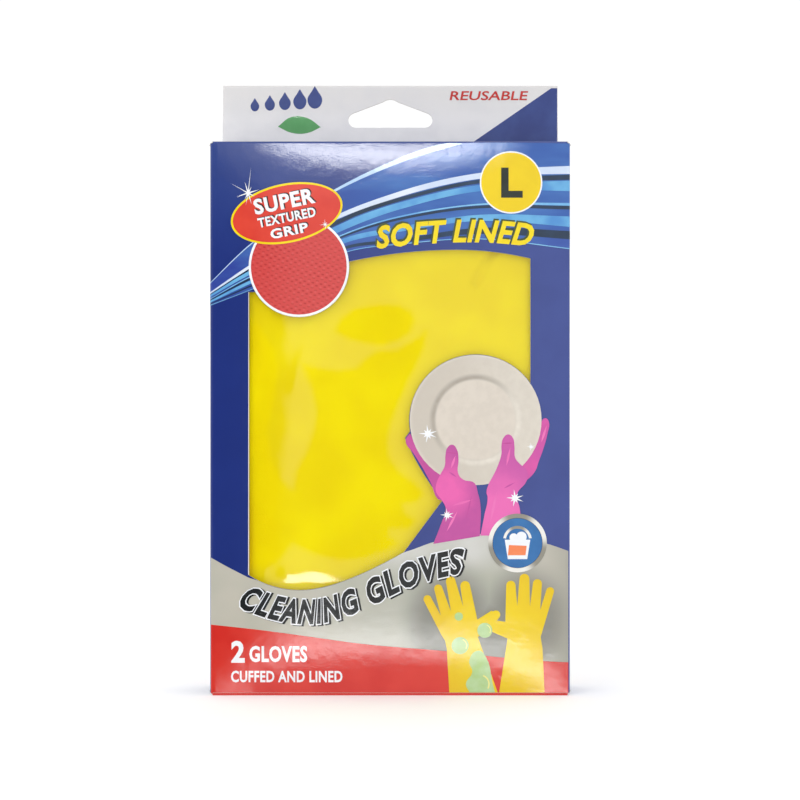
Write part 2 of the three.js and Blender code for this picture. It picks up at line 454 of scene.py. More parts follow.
def cutOut(obj, cutter):
    paint(cutter, cutBoard)
    finishModifier(obj, "BOOLEAN", operation="DIFFERENCE", object=cutter, solver="EXACT",
                   material_mode="TRANSFER")
    bpy.data.objects.remove(cutter)
    return obj


def arc(centre, radius, start, end, steps):  # points of an arc, angles in radians
    turns = [start + (end - start) * i / steps for i in range(steps + 1)]
    return [(centre[0] + radius * math.cos(a), centre[1] + radius * math.sin(a)) for a in turns]


def curveThrough(start, control, end, steps=8):  # a quadratic curve without its first point
    shares = [(i + 1) / steps for i in range(steps)]
    return [tuple((1 - t) ** 2 * a + 2 * t * (1 - t) * b + t * t * c
                  for a, b, c in zip(start, control, end)) for t in shares]


def outlineMesh(name, loops, thickness):  # a filled outline in the XY plane, as a closed flat mesh
    curve = bpy.data.curves.new(name, "CURVE")
    curve.dimensions = "2D"
    curve.fill_mode = "BOTH"
    curve.extrude = thickness / 2
    for points in loops:
        line = curve.splines.new("POLY")
        line.points.add(len(points) - 1)
        for spot, point in zip(line.points, points):
            spot.co = (point[0], point[1], 0, 1)
        line.use_cyclic_u = True
    obj = bpy.data.objects.new(name, curve)
    bpy.context.scene.collection.objects.link(obj)
    pick(obj)
    bpy.ops.object.convert(target="MESH")
    return weld(newest(name), 0.002)


def standUp(obj):  # from the XY plane into the XZ plane, facing -Y
    turn = Matrix.Rotation(math.pi / 2, 3, "X")
    return moveVertices(obj, lambda point: turn @ point)


window = {"left": -50.9, "right": 50.7, "low": 37.9, "top": 160.7, "footLeft": 43.2, "shoulder": 145.5,
          "disc": (-32.9, 154.6), "discRadius": 18.2, "plate": (30.9, 98.95), "plateRadius": 24,
          "waist": (18.8, 70.1), "hip": (5, 51.6),
          # along the foot from the hip: the curve's control, the lowest place and the corner's control
          "footBend": -19, "footFlat": -32.5, "footCorner": -42.5}


def windowOutline():
    w = window
    points = [(w["left"], w["footLeft"]), (w["left"], w["shoulder"])]
    discStart = math.pi + math.asin((w["disc"][1] - w["shoulder"]) / w["discRadius"])
    points += arc(w["disc"], w["discRadius"], discStart, 2 * math.pi + 0.1, 24)
    points += curveThrough(points[-1], (4.7, w["top"]), (24.2, w["top"]))
    points += curveThrough(points[-1], (37.4, w["top"]), (w["right"], 157.6))
    plateStart = math.acos((w["right"] - w["plate"][0]) / w["plateRadius"])
    points += arc(w["plate"], w["plateRadius"], plateStart, 3.3, 36)
    points += [(5.4, 92.8)]
    points += curveThrough(points[-1], (10.2, 81.5), w["waist"])
    points += [w["hip"]]
    points += curveThrough(points[-1], (w["footBend"], w["low"]), (w["footFlat"], w["low"]), 12)
    points += curveThrough(points[-1], (w["footCorner"], w["low"]), points[0])[:-1]
    return points


def slotOutline():
    half, low, radius, peak = 15.7, 208.2, 2.8, 219.9
    right = arc((half - radius, low + radius), radius, -math.pi / 2, 1.22, 8)
    left = [(-x, z) for x, z in reversed(right)]
    return right + [(3, 217.7)] + curveThrough((3, 217.7), (0, peak), (-3, 217.7), 4) + left


def addCornerCells(obj, steps=4):  # narrow cells at both sides, which roll round the corner creases
    for side in (-1, 1):
        for step in range(steps):
            x = side * (carton["flat"] + cornerRoll * step / steps)
            editSome(
                obj, "EDGE",
                lambda item: abs(middle(obj.data, item).x - x) < 0.001
                and abs(obj.data.vertices[item.vertices[0]].co.x - x) < 0.001,
                lambda: bpy.ops.mesh.extrude_region_move(
                    TRANSFORM_OT_translate={"value": (side * cornerRoll / steps, 0, 0)}))


def frontBoard():
    low, high = carton["crease"], carton["height"] - carton["crease"]
    obj = flatBoard("frontBoard", (-carton["flat"], low), (carton["flat"], high), 2, blueBoard)
    addCornerCells(obj)
    thicken(obj, carton["board"])
    cutter = standUp(outlineMesh("windowCutter", [windowOutline()], 8))
    cutOut(obj, cutter)
    wrapped(obj, onWall("front"))
    smooth(obj)
    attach(obj, "carton")
    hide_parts("front_panel")
    return obj


def sideBoard(side, node):
    turnDown = carton["flapCrease"]
    flat = carton["sideFlat"]
    low, high = 0.6 + turnDown, 199.4 - turnDown  # just inside the lids
    obj = flatBoard(side + "SideBoard", (-flat, low), (flat, high), 2.6, blueBoard)
    thicken(obj, carton["board"])
    wrapped(obj, onWall(side))
    smooth(obj)
    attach(obj, "carton")
    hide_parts(node)
    return obj


def backBoard():
    low, high = carton["crease"], carton["height"] - carton["crease"]
    tabTop = tabHigh.z - carton["tabFold"]
    obj = flatBoard("backBoard", (-carton["flat"], low), (carton["flat"], high), 3, blueBoard)
    addCornerCells(obj)
    steps = 12
    for step in range(steps):
        z = high + (tabTop - high) * step / steps
        editSome(
            obj, "EDGE",
            lambda item: abs(obj.data.vertices[item.vertices[0]].co.z - z) < 0.001
            and abs(obj.data.vertices[item.vertices[1]].co.z - z) < 0.001
            and abs(middle(obj.data, item).x) < carton["flat"],
            lambda: bpy.ops.mesh.extrude_region_move(
                TRANSFORM_OT_translate={"value": (0, 0, (tabTop - high) / steps)}))
    thicken(obj, carton["board"])
    corner = [(tabHigh.x, high), (70, high), (70, 230), (tabHigh.x - 0.35, 230)]
    mirrored = [(-x, z) for x, z in reversed(corner)]
    cutOut(obj, standUp(outlineMesh("slotCutter", [slotOutline(), corner, mirrored], 8)))
    wrapped(obj, onWall("back"))
    smooth(obj)
    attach(obj, "carton")
    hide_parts("back_panel")
    return obj


def tabFrontLayer():
    top = tabHigh.z - carton["tabFold"]
    half = tabHigh.x
    obj = flatBoard("tabFrontLayer", (-half, tabLow.z), (half, top), 2, tabBoard)
    thicken(obj, carton["board"])
    corner = [(half, tabLow.z - 1), (half + 5, tabLow.z - 1), (half + 5, 230), (half - 0.35, 230)]
    mirrored = [(-x, z) for x, z in reversed(corner)]
    cutOut(obj, standUp(outlineMesh("slotCutter", [slotOutline(), corner, mirrored], 8)))
    wrapped(obj, onTab)
    smooth(obj)
    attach(obj, "carton")
    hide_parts("hang_tab_front_layer")
    return obj


def foldStrip(name, halfWidth, centre, radius, start, end, printed, steps=6, cells=40):
    # a bent strip of board along X: centre is (y, z), angles in degrees from +Y towards +Z
    clearSelection()
    bpy.ops.mesh.primitive_grid_add(x_subdivisions=cells, y_subdivisions=steps, size=1)
    obj = newest(name)
    paint(obj, printed, plainBoard, cutBoard)

    def place(point):
        angle = math.radians(start + (end - start) * (point.y + 0.5))
        return Vector((point.x * 2 * halfWidth,
                       centre[0] + radius * math.cos(angle), centre[1] + radius * math.sin(angle)))
    moveVertices(obj, place)
    finishModifier(obj, "SOLIDIFY", thickness=carton["board"], offset=-1, use_even_offset=True)
    axis = Vector((0, centre[0], centre[1]))
    for face in obj.data.polygons:
        out = (face.center - axis)
        out.x = 0
        lean = face.normal.dot(out.normalized())
        face.material_index = 0 if lean > 0.7 else 1 if lean < -0.7 else 2
    moveVertices(obj, lambda point: point * mm)
    return smooth(obj, 50)


# Printed pictures, lettering and bands: thin closed layers of ink that follow their wall

def layInk(obj, layer, place, cell=3.0):  # obj is flat in XY, millimetres; the wall's mesh bends in cells
    corners = [Vector(c) for c in obj.bound_box]
    for axis in (0, 1):
        low = min(c[axis] for c in corners)
        high = max(c[axis] for c in corners)
        first = math.ceil(low / cell + 0.01)
        last = math.floor(high / cell - 0.01)
        cutPlanes(obj, axis, [cell * i for i in range(first, last + 1)])
    lift = layer * carton["inkStep"]
    moveVertices(obj, lambda point: place(point.x, -lift - point.z, point.y))
    return obj


def inkShape(name, loops, ink, layer, place, cell=3.0):
    obj = outlineMesh(name, loops, carton["ink"])
    paint(obj, ink)
    return layInk(obj, layer, place, cell)


def inkDisc(name, centre, radii, ink, layer, place, tilt=0):
    clearSelection()
    bpy.ops.mesh.primitive_circle_add(vertices=56, radius=1, fill_type="NGON")
    obj = newest(name)
    obj.scale = (radii[0], radii[1], 1)
    obj.rotation_euler = (0, 0, math.radians(tilt))
    obj.location = (centre[0], centre[1], 0)
    settle(obj)
    editAll(obj, lambda: bpy.ops.mesh.extrude_region_move(
        TRANSFORM_OT_translate={"value": (0, 0, carton["ink"])}))
    weld(obj, 0.002)
    paint(obj, ink)
    return layInk(obj, layer, place)


def inkBand(name, low, high, start, end, ink, layer, place, across=2.0, rows=1):
    # a band between two height lines, from start to end across the wall
    flat = carton["flat"]
    inner = (max(start, -flat), min(end, flat))
    columns = max(2, round((inner[1] - inner[0]) / across))
    places = [inner[0] + (inner[1] - inner[0]) * i / columns for i in range(columns + 1)]
    if start < -flat:  # fine steps round the left crease
        places = [start + (-flat - start) * i / 6 for i in range(6)] + places
    if end > flat:  # and round the right one
        places += [flat + (end - flat) * (i + 1) / 6 for i in range(6)]
    clearSelection()
    bpy.ops.mesh.primitive_grid_add(x_subdivisions=len(places) - 1, y_subdivisions=rows, size=1)
    obj = newest(name)
    paint(obj, ink)
    finishModifier(obj, "SOLIDIFY", thickness=carton["ink"], offset=1)
    lift = layer * carton["inkStep"]

    def lay(point):
        x = places[round((point.x + 0.5) * (len(places) - 1))]
        bottom, top = heightAt(low, x), heightAt(high, x)
        return place(x, -lift - point.z, bottom + (point.y + 0.5) * max(0.02, top - bottom))
    return moveVertices(obj, lay)


def softOutline(name, points, thickness):  # a filled outline, and a third value makes a point sharp
    curve = bpy.data.curves.new(name, "CURVE")
    curve.dimensions = "2D"
    curve.fill_mode = "BOTH"
    curve.extrude = thickness / 2
    curve.resolution_u = 5
    line = curve.splines.new("BEZIER")
    line.bezier_points.add(len(points) - 1)
    for spot, point in zip(line.bezier_points, points):
        spot.co = (point[0], point[1], 0)
        kind = "VECTOR" if len(point) > 2 else "AUTO"
        spot.handle_left_type = kind
        spot.handle_right_type = kind
    line.use_cyclic_u = True
    obj = bpy.data.objects.new(name, curve)
    bpy.context.scene.collection.objects.link(obj)
    pick(obj)
    bpy.ops.object.convert(target="MESH")
    return weld(newest(name), 0.002)


def inkPicture(name, points, ink, layer, place):
    obj = softOutline(name, points, carton["ink"])
    paint(obj, ink)
    return layInk(obj, layer, place)


def letterMesh(name, words, weight, spacing):
    clearSelection()
    bpy.ops.object.text_add()
    obj = bpy.context.active_object
    obj.data.body = words
    obj.data.size = 1.37
    obj.data.extrude = carton["ink"] / 2
    obj.data.offset = weight
    obj.data.space_character = spacing
    obj.data.resolution_u = 3
    pick(obj)
    bpy.ops.object.convert(target="MESH")
    return newest(name)


def lettering(name, words, height, width, weight=0.0, lean=0.0, spacing=1.0):
    # capitals of that height and whole width, from the origin; weight swells the strokes, in heights
    plain = letterMesh(name, words, 0.0, spacing)
    spots = [vertex.co.copy() for vertex in plain.data.vertices]
    bpy.data.objects.remove(plain)
    low, high = min(p.x for p in spots), max(p.x for p in spots)
    foot, head = min(p.y for p in spots), max(p.y for p in spots)

    def place(point):
        x = (point.x - low) / (high - low) * width
        y = (point.y - foot) / (head - foot) * height
        return Vector((x + lean * y, y, point.z))
    return moveVertices(weld(letterMesh(name, words, weight, spacing), 0.0005), place)


def bendAlong(obj, line, start, end, width):  # sets letters along a height line between two places across
    def place(point):
        x = start + (end - start) * point.x / width
        slope = (heightAt(line, x + 0.5) - heightAt(line, x - 0.5))
        length = math.hypot(1, slope)
        return Vector((x - point.y * slope / length, heightAt(line, x) + point.y / length, point.z))
    return moveVertices(obj, place)


def shifted(obj, across, up, tilt=0):
    turn = Matrix.Rotation(math.radians(tilt), 3, "Z")
    return moveVertices(obj, lambda point: turn @ point + Vector((across, up, 0)))


def star(centre, reach, rays=8, core=0.22, turn=0.2):  # a printed sparkle: long and short rays in turn
    points = []
    for i in range(rays * 2):
        angle = turn + math.pi * i / rays
        radius = reach * (core if i % 2 else (1 if i % 4 == 0 else 0.62))
        points.append((centre[0] + radius * math.cos(angle), centre[1] + radius * math.sin(angle)))
    return points


inks = {
    "white": inkMaterial("whitePrint", "F3F5F8", "E9EDF3"),
    "black": inkMaterial("blackPrint", "0E1113", "1B1F21"),
    "navy": inkMaterial("navyPrint", "1B2F45", "233C58", 12 * mm),
    "lightBlue": inkMaterial("paleBluePrint", "6CB2DD", "4C8CCB", 12 * mm),
    "cyan": inkMaterial("brightBluePrint", "86C4E8", "66A6DC"),
    "paleBand": inkMaterial("paleBandPrint", "DCE5F2", "C6D5EC", 16 * mm),
    "red": inkMaterial("redPrint", "CB2A22", "D4382D", 16 * mm),
    "badgeRed": inkMaterial("badgeRedPrint", "DB4433", "D23A2C"),
    "yellow": inkMaterial("yellowPrint", "EFD810", "E8CB0A"),
    "sizeYellow": inkMaterial("deepYellowPrint", "EACB08", "E4C406"),
    "gloveYellow": inkMaterial("gloveYellowPrint", "EDCB16", "E8C20D", 10 * mm),
    "pink": inkMaterial("pinkPrint", "DA55A4", "C850A0", 10 * mm),
    "pinkLight": inkMaterial("lightPinkPrint", "EA78BA", "E067AF"),
    "pinkDark": inkMaterial("darkPinkPrint", "B8418F", "C24E9B"),
    "discBlue": inkMaterial("discBluePrint", "25629F", "2F70AE"),
    "orange": inkMaterial("orangePrint", "EC7442", "F08A58"),
    "green": inkMaterial("greenPrint", "A9C983", "BAD7A8", 6 * mm),
    "letterRed": inkMaterial("letterRedPrint", "BE2B27", "B0251F"),
    "tabBlue": inkMaterial("tabBluePrint", "273A7C", "314687"),
    "markGreen": inkMaterial("markGreenPrint", "4E9A58", "5DA866"),
    "cyanWhite": inkMaterial("iceBluePrint", "C6DCF2", "A9CAEC", 14 * mm),
    "darkGreen": inkMaterial("darkPrint", "18211A", "212B23"),
    "olive": inkMaterial("oliveShadowPrint", "3C4A22", "46542C"),
    "lemon": inkMaterial("lemonPrint", "F2EFA0", "E8E58A"),
    "panelWhite": inkMaterial("panelPrint", "E6E7E6", "DCDEDE", 25 * mm),
}


def shadedPrint(name, near, far, centre, reach):  # runs from one colour to another outwards
    material, tree, shader = newMaterial(name, varnish)
    share = ramp(tree, distanceFrom(tree, centre), reach[0] * mm, reach[1] * mm)
    mottle = ramp(tree, noiseAt(tree, 5 * mm, 2.0), 0.3, 0.7, -0.1, 0.1)
    share = addNode(tree, "ShaderNodeMath", {"operation": "ADD", "use_clamp": True}, {0: share, 1: mottle})
    colour = mixColours(tree, share.outputs[0], near, far)
    return varnished(material, shader, colour)


def silverPrint(name, centre):  # printed metal ring: light and dark bands go round the middle
    material, tree, shader = newMaterial(name, varnish)
    split = splitPlace(tree)
    x = maths(tree, "SUBTRACT", split.outputs["X"], centre[0] * mm)
    z = maths(tree, "SUBTRACT", split.outputs["Z"], centre[1] * mm)
    angle = maths(tree, "ARCTAN2", z, x)
    wave = maths(tree, "SINE", maths(tree, "MULTIPLY", angle, 3.0))
    colour = mixColours(tree, ramp(tree, wave, -0.7, 0.8), "8E8B80", "E9E8E2")
    return varnished(material, shader, colour)


def greyWaveMaterial():  # silver-grey ground, shaded softly round the two printed gloves
    material, tree, shader = newMaterial("greyWavePrint", varnish)
    split = splitPlace(tree)
    across = split.outputs["X"]
    middleGlow = maths(tree, "MULTIPLY", ramp(tree, across, -0.05, 0.0), ramp(tree, across, 0.06, 0.025))
    colour = mixColours(tree, middleGlow, "BDB9AD", "B4B5AA")
    crest = maths(tree, "MULTIPLY", ramp(tree, split.outputs["Z"], 0.042, 0.052), middleGlow)
    colour = mixColours(tree, crest, colour, "CECECA")
    mottle = ramp(tree, noiseAt(tree, 22 * mm, 2.0), 0.35, 0.7)
    colour = mixColours(tree, maths(tree, "MULTIPLY", mottle, 0.5), colour, "A9AC9E")
    shade = None
    for x, z, reach in ((22, 26, 19), (49, 27, 18), (38, 22, 12)):
        away = distanceFrom(tree, (x, z), 0.8)
        one = ramp(tree, away, reach * mm * 1.1, reach * mm * 0.45)
        shade = one if shade is None else maths(tree, "MAXIMUM", shade, one)
    colour = mixColours(tree, maths(tree, "MULTIPLY", shade, 0.75), colour, "6F6F6A")
    edge = ramp(tree, across, 0.052, 0.066, 0.0, 0.45)
    colour = mixColours(tree, edge, colour, "85867C")
    return varnished(material, shader, colour)


front = onWall("front")
edgeOfPrint = carton["flat"] + cornerRoll


def windowFoot():  # the window's lower edge from left to right, as (across, up)
    w = window
    lowest = (w["footFlat"], w["low"])
    points = [w["hip"]]
    points += curveThrough(w["hip"], (w["footBend"], w["low"]), lowest, 12)
    points += curveThrough(lowest, (w["footCorner"], w["low"]), (w["left"], w["footLeft"]), 6)
    return points[::-1]


waveTop = [(-66, 50.3), (-59, 46.4), (-52.5, 43.1)] + [
    (x, min(z - 0.1, 42.3)) if x < -49 else (x, z - 0.1) for x, z in windowFoot()] + [
    (8, 52.5), (16.6, 55.5), (32.8, 58.1), (45, 57.2), (56.7, 54.6), (66, 51.4)]
redTop = [(-66, 25.5), (-48, 23.6), (-31.1, 21.4), (-9, 18.4), (19.9, 15.9), (40, 13.6), (57.4, 12.1),
          (66, 11.7)]
printFoot = [(-66, carton["crease"] - 0.3), (66, carton["crease"] - 0.3)]


def printBurr():  # the pale line that the die leaves along the window's upright edge
    w = window
    line = [(w["left"] - 0.3, w["footLeft"] + 0.2), (w["left"] - 0.03, w["footLeft"] + 0.2),
            (w["left"] - 0.03, w["shoulder"]), (w["left"] - 0.22, w["shoulder"])]
    return inkShape("burr", [line], cutBoard, 2.5, front)


def printWave():  # grey wave and red band across the foot of the front
    left, right = -carton["flat"] - 0.5, carton["flat"] + 0.2
    wave = inkBand("waveInk", printFoot, waveTop, left, right, greyWaveMaterial(), 1, front, 1.5, 20)
    band = inkBand("redInk", printFoot, redTop, left, right, inks["red"], 2, front, 1.5, 8)
    return [wave, band, printBurr()]


# bands of light that fan out from the left edge: (across, lower edge, upper edge)
swooshes = {
    "white": [(-66, 144.2, 144.7), (-51, 153.8, 155.0), (-34, 164.2, 165.6), (-16, 173.0, 174.7),
              (3.6, 179.8, 181.8), (18, 183.7, 185.8), (32, 186.3, 188.4), (48, 187.8, 190.2),
              (66, 188.2, 191.1)],
    "navy": [(-66, 143.8, 144.1), (-51, 153.1, 153.7), (-16, 171.2, 172.8), (3.6, 178.2, 179.6),
             (32, 184.6, 186.0), (66, 186.1, 188.0)],
    "lightBlue": [(-66, 143.1, 143.8), (-51, 151.5, 153.0), (-16, 168.1, 170.8), (3.6, 175.3, 177.8),
                  (32, 181.8, 184.1), (66, 182.0, 185.8)],
    "cyan": [(-66, 142.3, 142.5), (-51, 150.5, 150.9), (-16, 166.3, 166.7), (3.6, 172.4, 172.9),
             (32, 176.8, 177.3), (66, 176.7, 177.7)],
    "navyThin": [(-66, 141.9, 142.2), (-51, 149.6, 150.4), (-16, 165.5, 166.2), (3.6, 171.4, 172.3),
                 (32, 175.6, 176.6), (66, 175.3, 176.6)],
    "lightBlueWide": [(-66, 141.2, 141.8), (-51, 148.2, 149.4), (-16, 163.2, 165.0), (3.6, 167.2, 169.0),
                      (32, 171.1, 173.3), (66, 169.0, 172.8)],
    "navyLow": [(-66, 140.6, 140.9), (-51, 147.0, 147.6), (-16, 160.9, 162.0), (3.6, 163.2, 164.5),
                (32, 166.4, 168.6), (66, 164.5, 167.5)],
    "cyanLow": [(-66, 140.2, 140.4), (-51, 145.9, 146.1), (-16, 159.7, 159.95), (3.6, 162.6, 162.85),
                (32, 164.5, 164.8), (66, 160.9, 161.2)],
}
highLine = [(-66, 147.6, 147.9), (-50.6, 162.2, 162.7), (-34, 173.6, 174.3), (-19.5, 181.8, 182.8),
            (-9, 186.9, 188.3), (3.6, 192.1, 194.0), (12, 195.0, 197.2), (20, 197.3, 200)]


def swooshGroundMaterial():  # blue ground between the bands, paler and brighter to the right
    material, tree, shader = newMaterial("swooshGroundPrint", varnish)
    split = splitPlace(tree)
    colour = mixColours(tree, ramp(tree, split.outputs["X"], -0.055, 0.012), "22368A", "315AA6")
    low = ramp(tree, split.outputs["Z"], 0.172, 0.16, 0.0, 0.75)
    colour = mixColours(tree, low, colour, "34479C")
    streak = noiseAt(tree, 6 * mm, 2.0, (0.25, 1, 1))
    colour = mixColours(tree, ramp(tree, streak, 0.35, 0.75, 0.0, 0.4), colour, "5288C8")
    return varnished(material, shader, colour)


def printSwooshes():
    parts = []
    ground = swooshGroundMaterial()
    low = [(x, bottom) for x, bottom, _ in swooshes["cyanLow"]]
    roof = carton["height"] - carton["crease"]
    line = [(x, min(top, roof)) for x, top, _ in highLine] + [(24, roof), (66, roof)]
    parts.append(inkBand("swooshGround", low, line, -edgeOfPrint, edgeOfPrint, ground, 1, front, 1.5, 16))
    inkOf = {"white": "paleBand", "navyThin": "navy", "lightBlueWide": "lightBlue", "navyLow": "navy",
             "cyanLow": "cyan"}
    for name, stations in swooshes.items():
        bottom = [(x, low) for x, low, _ in stations]
        top = [(x, high) for x, _, high in stations]
        ink = inks[inkOf.get(name, name)]
        parts.append(inkBand(name, bottom, top, -edgeOfPrint, edgeOfPrint, ink, 2, front, 1.5, 2))
    bottom = [(x, low) for x, low, _ in highLine] + [(26.5, 199.15)]
    top = [(x, high) for x, _, high in highLine]
    top = [(x, min(high, roof)) for x, high in top] + [(26.5, roof)]
    parts.append(inkBand("highLine", bottom, top, -edgeOfPrint, 26, inks["cyanWhite"], 2, front, 1.2, 2))
    return parts


gripBadge = {
    "centre": (-37.3, 173.9), "radii": (20.5, 10.7), "tilt": 11.5, "rim": 0.75,
    # words, height, width, baseline's left end, weight
    "lines": [("SUPER", 5.2, 21.4, (-48.3, 173.5), 0.05), ("TEXTURED", 3.2, 20.9, (-47.2, 168.7), 0.045),
              ("GRIP", 3.3, 13.4, (-42.6, 164.6), 0.045)],
    # centre, reach and turn of the sparkles, and the tips of the long rays from the first
    "sparkles": [((-51.2, 181.2), 4.2, 0.3), ((-23.4, 169.8), 2.0, 0.1)],
    "rays": [(-57.6, 184.8), (-50.2, 190.6), (-55.6, 179.6), (-52.1, 176.6)],
}
gripDisc = {"centre": (-32.9, 154.6), "radius": 18.15, "ring": 0.85, "pitch": 1.5}


def gripDiscMaterial():  # a printed close-up of knurled red rubber: staggered rows of lit dimples
    material, tree, shader = newMaterial("knurledRedPrint", varnish)
    settings = {"Rotation": (0, math.radians(-10), 0)}
    place = addNode(tree, "ShaderNodeMapping", settings, {"Vector": objectPlace(tree)})
    split = addNode(tree, "ShaderNodeSeparateXYZ", None, {"Vector": place.outputs[0]})
    turns = 2 * math.pi / (gripDisc["pitch"] * mm)
    u = maths(tree, "SINE", maths(tree, "MULTIPLY", split.outputs["X"], turns * 0.5))
    v = maths(tree, "SINE", maths(tree, "MULTIPLY", split.outputs["Z"], turns * 0.86))
    dots = maths(tree, "MULTIPLY", u, v)
    shade = maths(tree, "SINE", maths(tree, "MULTIPLY", split.outputs["Z"], turns * 0.43))
    colour = mixColours(tree, ramp(tree, dots, 0.15, 0.85), "CB4341", "B0302F")
    lit = ramp(tree, maths(tree, "MULTIPLY", u, shade), 0.3, 0.95, 0.0, 0.45)
    colour = mixColours(tree, lit, colour, "D85B58")
    broad = ramp(tree, noiseAt(tree, 14 * mm, 2.0), 0.3, 0.7, 0.0, 0.4)
    colour = mixColours(tree, broad, colour, "CB4543")
    return varnished(material, shader, colour)


def printGripBadge():
    d, b = gripDisc, gripBadge
    r = d["radius"]
    parts = [inkDisc("disc", d["centre"], (r, r), inks["white"], 3, front)]
    inner = r - d["ring"]
    parts.append(inkDisc("discFace", d["centre"], (inner, inner), gripDiscMaterial(), 4, front))
    parts.append(inkDisc("badge", b["centre"], b["radii"], inks["yellow"], 5, front, b["tilt"]))
    inner = (b["radii"][0] - b["rim"], b["radii"][1] - b["rim"])
    parts.append(inkDisc("badgeFace", b["centre"], inner, inks["badgeRed"], 6, front, b["tilt"]))
    for words, height, width, start, weight in b["lines"]:
        for ink, layer, move in (("black", 7, (0.4, 0.35)), ("white", 8, (0, 0))):
            letters = lettering("badgeWords", words, height, width, weight, 0, 1.1)
            shifted(letters, start[0] + move[0], start[1] + move[1], b["tilt"])
            paint(letters, inks[ink])
            parts.append(layInk(letters, layer, front))
    for centre, reach, turn in b["sparkles"]:
        parts.append(inkShape("sparkle", [star(centre, reach, 8, 0.16, turn)], inks["white"], 9, front))
    for end in b["rays"]:
        ray = rayPoints(b["sparkles"][0][0], end, 0.16)
        parts.append(inkShape("ray", [ray], inks["white"], 8, front))
    return parts


def rayPoints(start, end, half):  # a long thin triangle of light
    along = Vector((end[0] - start[0], end[1] - start[1])).normalized()
    side = Vector((-along.y, along.x)) * half
    return [(start[0] + side.x, start[1] + side.y), (start[0] - side.x, start[1] - side.y), end]


sizeBadge = {
    "centre": (43.7, 185.05), "radius": 11.3, "rim": 0.5,
    # the letter: its upright's left edge, foot and head, stroke width, foot's right end and height
    "bar": (40.1, 179.5, 190.4), "width": 2.7, "foot": 47.9, "footHeight": 2.5,
}


def printSizeBadge():
    s = sizeBadge
    r = s["radius"]
    parts = [inkDisc("sizeRim", s["centre"], (r, r), inks["white"], 4, front)]
    inner = r - s["rim"]
    parts.append(inkDisc("sizeFace", s["centre"], (inner, inner), inks["sizeYellow"], 5, front))
    left, low, high = s["bar"]
    corner = low + s["footHeight"]
    letter = [(left, low), (s["foot"], low), (s["foot"], corner), (left + s["width"], corner),
              (left + s["width"], high), (left, high)]
    parts.append(inkShape("sizeLetter", [letter], inks["darkGreen"], 6, front))
    return parts


headline = {
    "words": "SOFT LINED", "height": 7.7, "width": 57, "lean": 0.22, "start": -4.6, "end": 50.2,
    "line": [(-8, 160.9), (12, 162.9), (25.6, 163.6), (40, 163.2), (56, 161.5)],
}


def printHeadline():
    h = headline
    parts = []
    for ink, layer, move, extra in (("olive", 4, (-0.45, 0.5), 0.02), ("yellow", 5, (0, 0), 0)):
        weight = 0.045 + extra
        letters = lettering("headline", h["words"], h["height"], h["width"], weight, h["lean"], 1.06)
        bendAlong(letters, h["line"], h["start"], h["end"], h["width"])
        shifted(letters, move[0], move[1])
        paint(letters, inks[ink])
        parts.append(layInk(letters, layer, front))
    return parts


title = {
    "words": "CLEANING GLOVES", "height": 8.3, "width": 84, "lean": 0.2, "start": -55.3, "end": 25.2,
    "drop": 2.6,          # how far the letters stand below their line
    "line": [(-58, 36.0), (-50, 32.6), (-42, 30.0), (-33, 28.6), (-22.6, 29.2), (-9, 34.0), (4, 40.6),
             (14, 44.2), (26, 47.0)],
}


def printTitle():
    t = title
    parts = []
    for ink, layer, move, weight in (("black", 4, (0.75, -0.3), 0.11), ("white", 5, (0, 0), 0.105),
                                     ("black", 6, (0, 0), 0.052)):
        letters = lettering("title", t["words"], t["height"], t["width"], weight, t["lean"], 1.17)
        bendAlong(letters, t["line"], t["start"], t["end"], t["width"])
        shifted(letters, move[0], move[1] - t["drop"])
        paint(letters, inks[ink])
        parts.append(layInk(letters, layer, front))
    return parts


# words, height, width, baseline's left end, weight
footWords = [("2", 7.2, 4.2, (-57.0, 12.0), 0.05), ("GLOVES", 5.4, 20.5, (-50.6, 12.1), 0.045),
             ("CUFFED AND LINED", 3.9, 40, (-57.3, 4.7), 0.04)]


def printFootWords():
    parts = []
    for words, height, width, start, weight in footWords:
        letters = lettering("footWords", words, height, width, weight, 0, 1.07)
        shifted(letters, start[0], start[1])
        paint(letters, inks["white"])
        parts.append(layInk(letters, 4, front))
    return parts


plate = {"centre": (30.9, 99.3), "radii": (23.8, 23.5)}


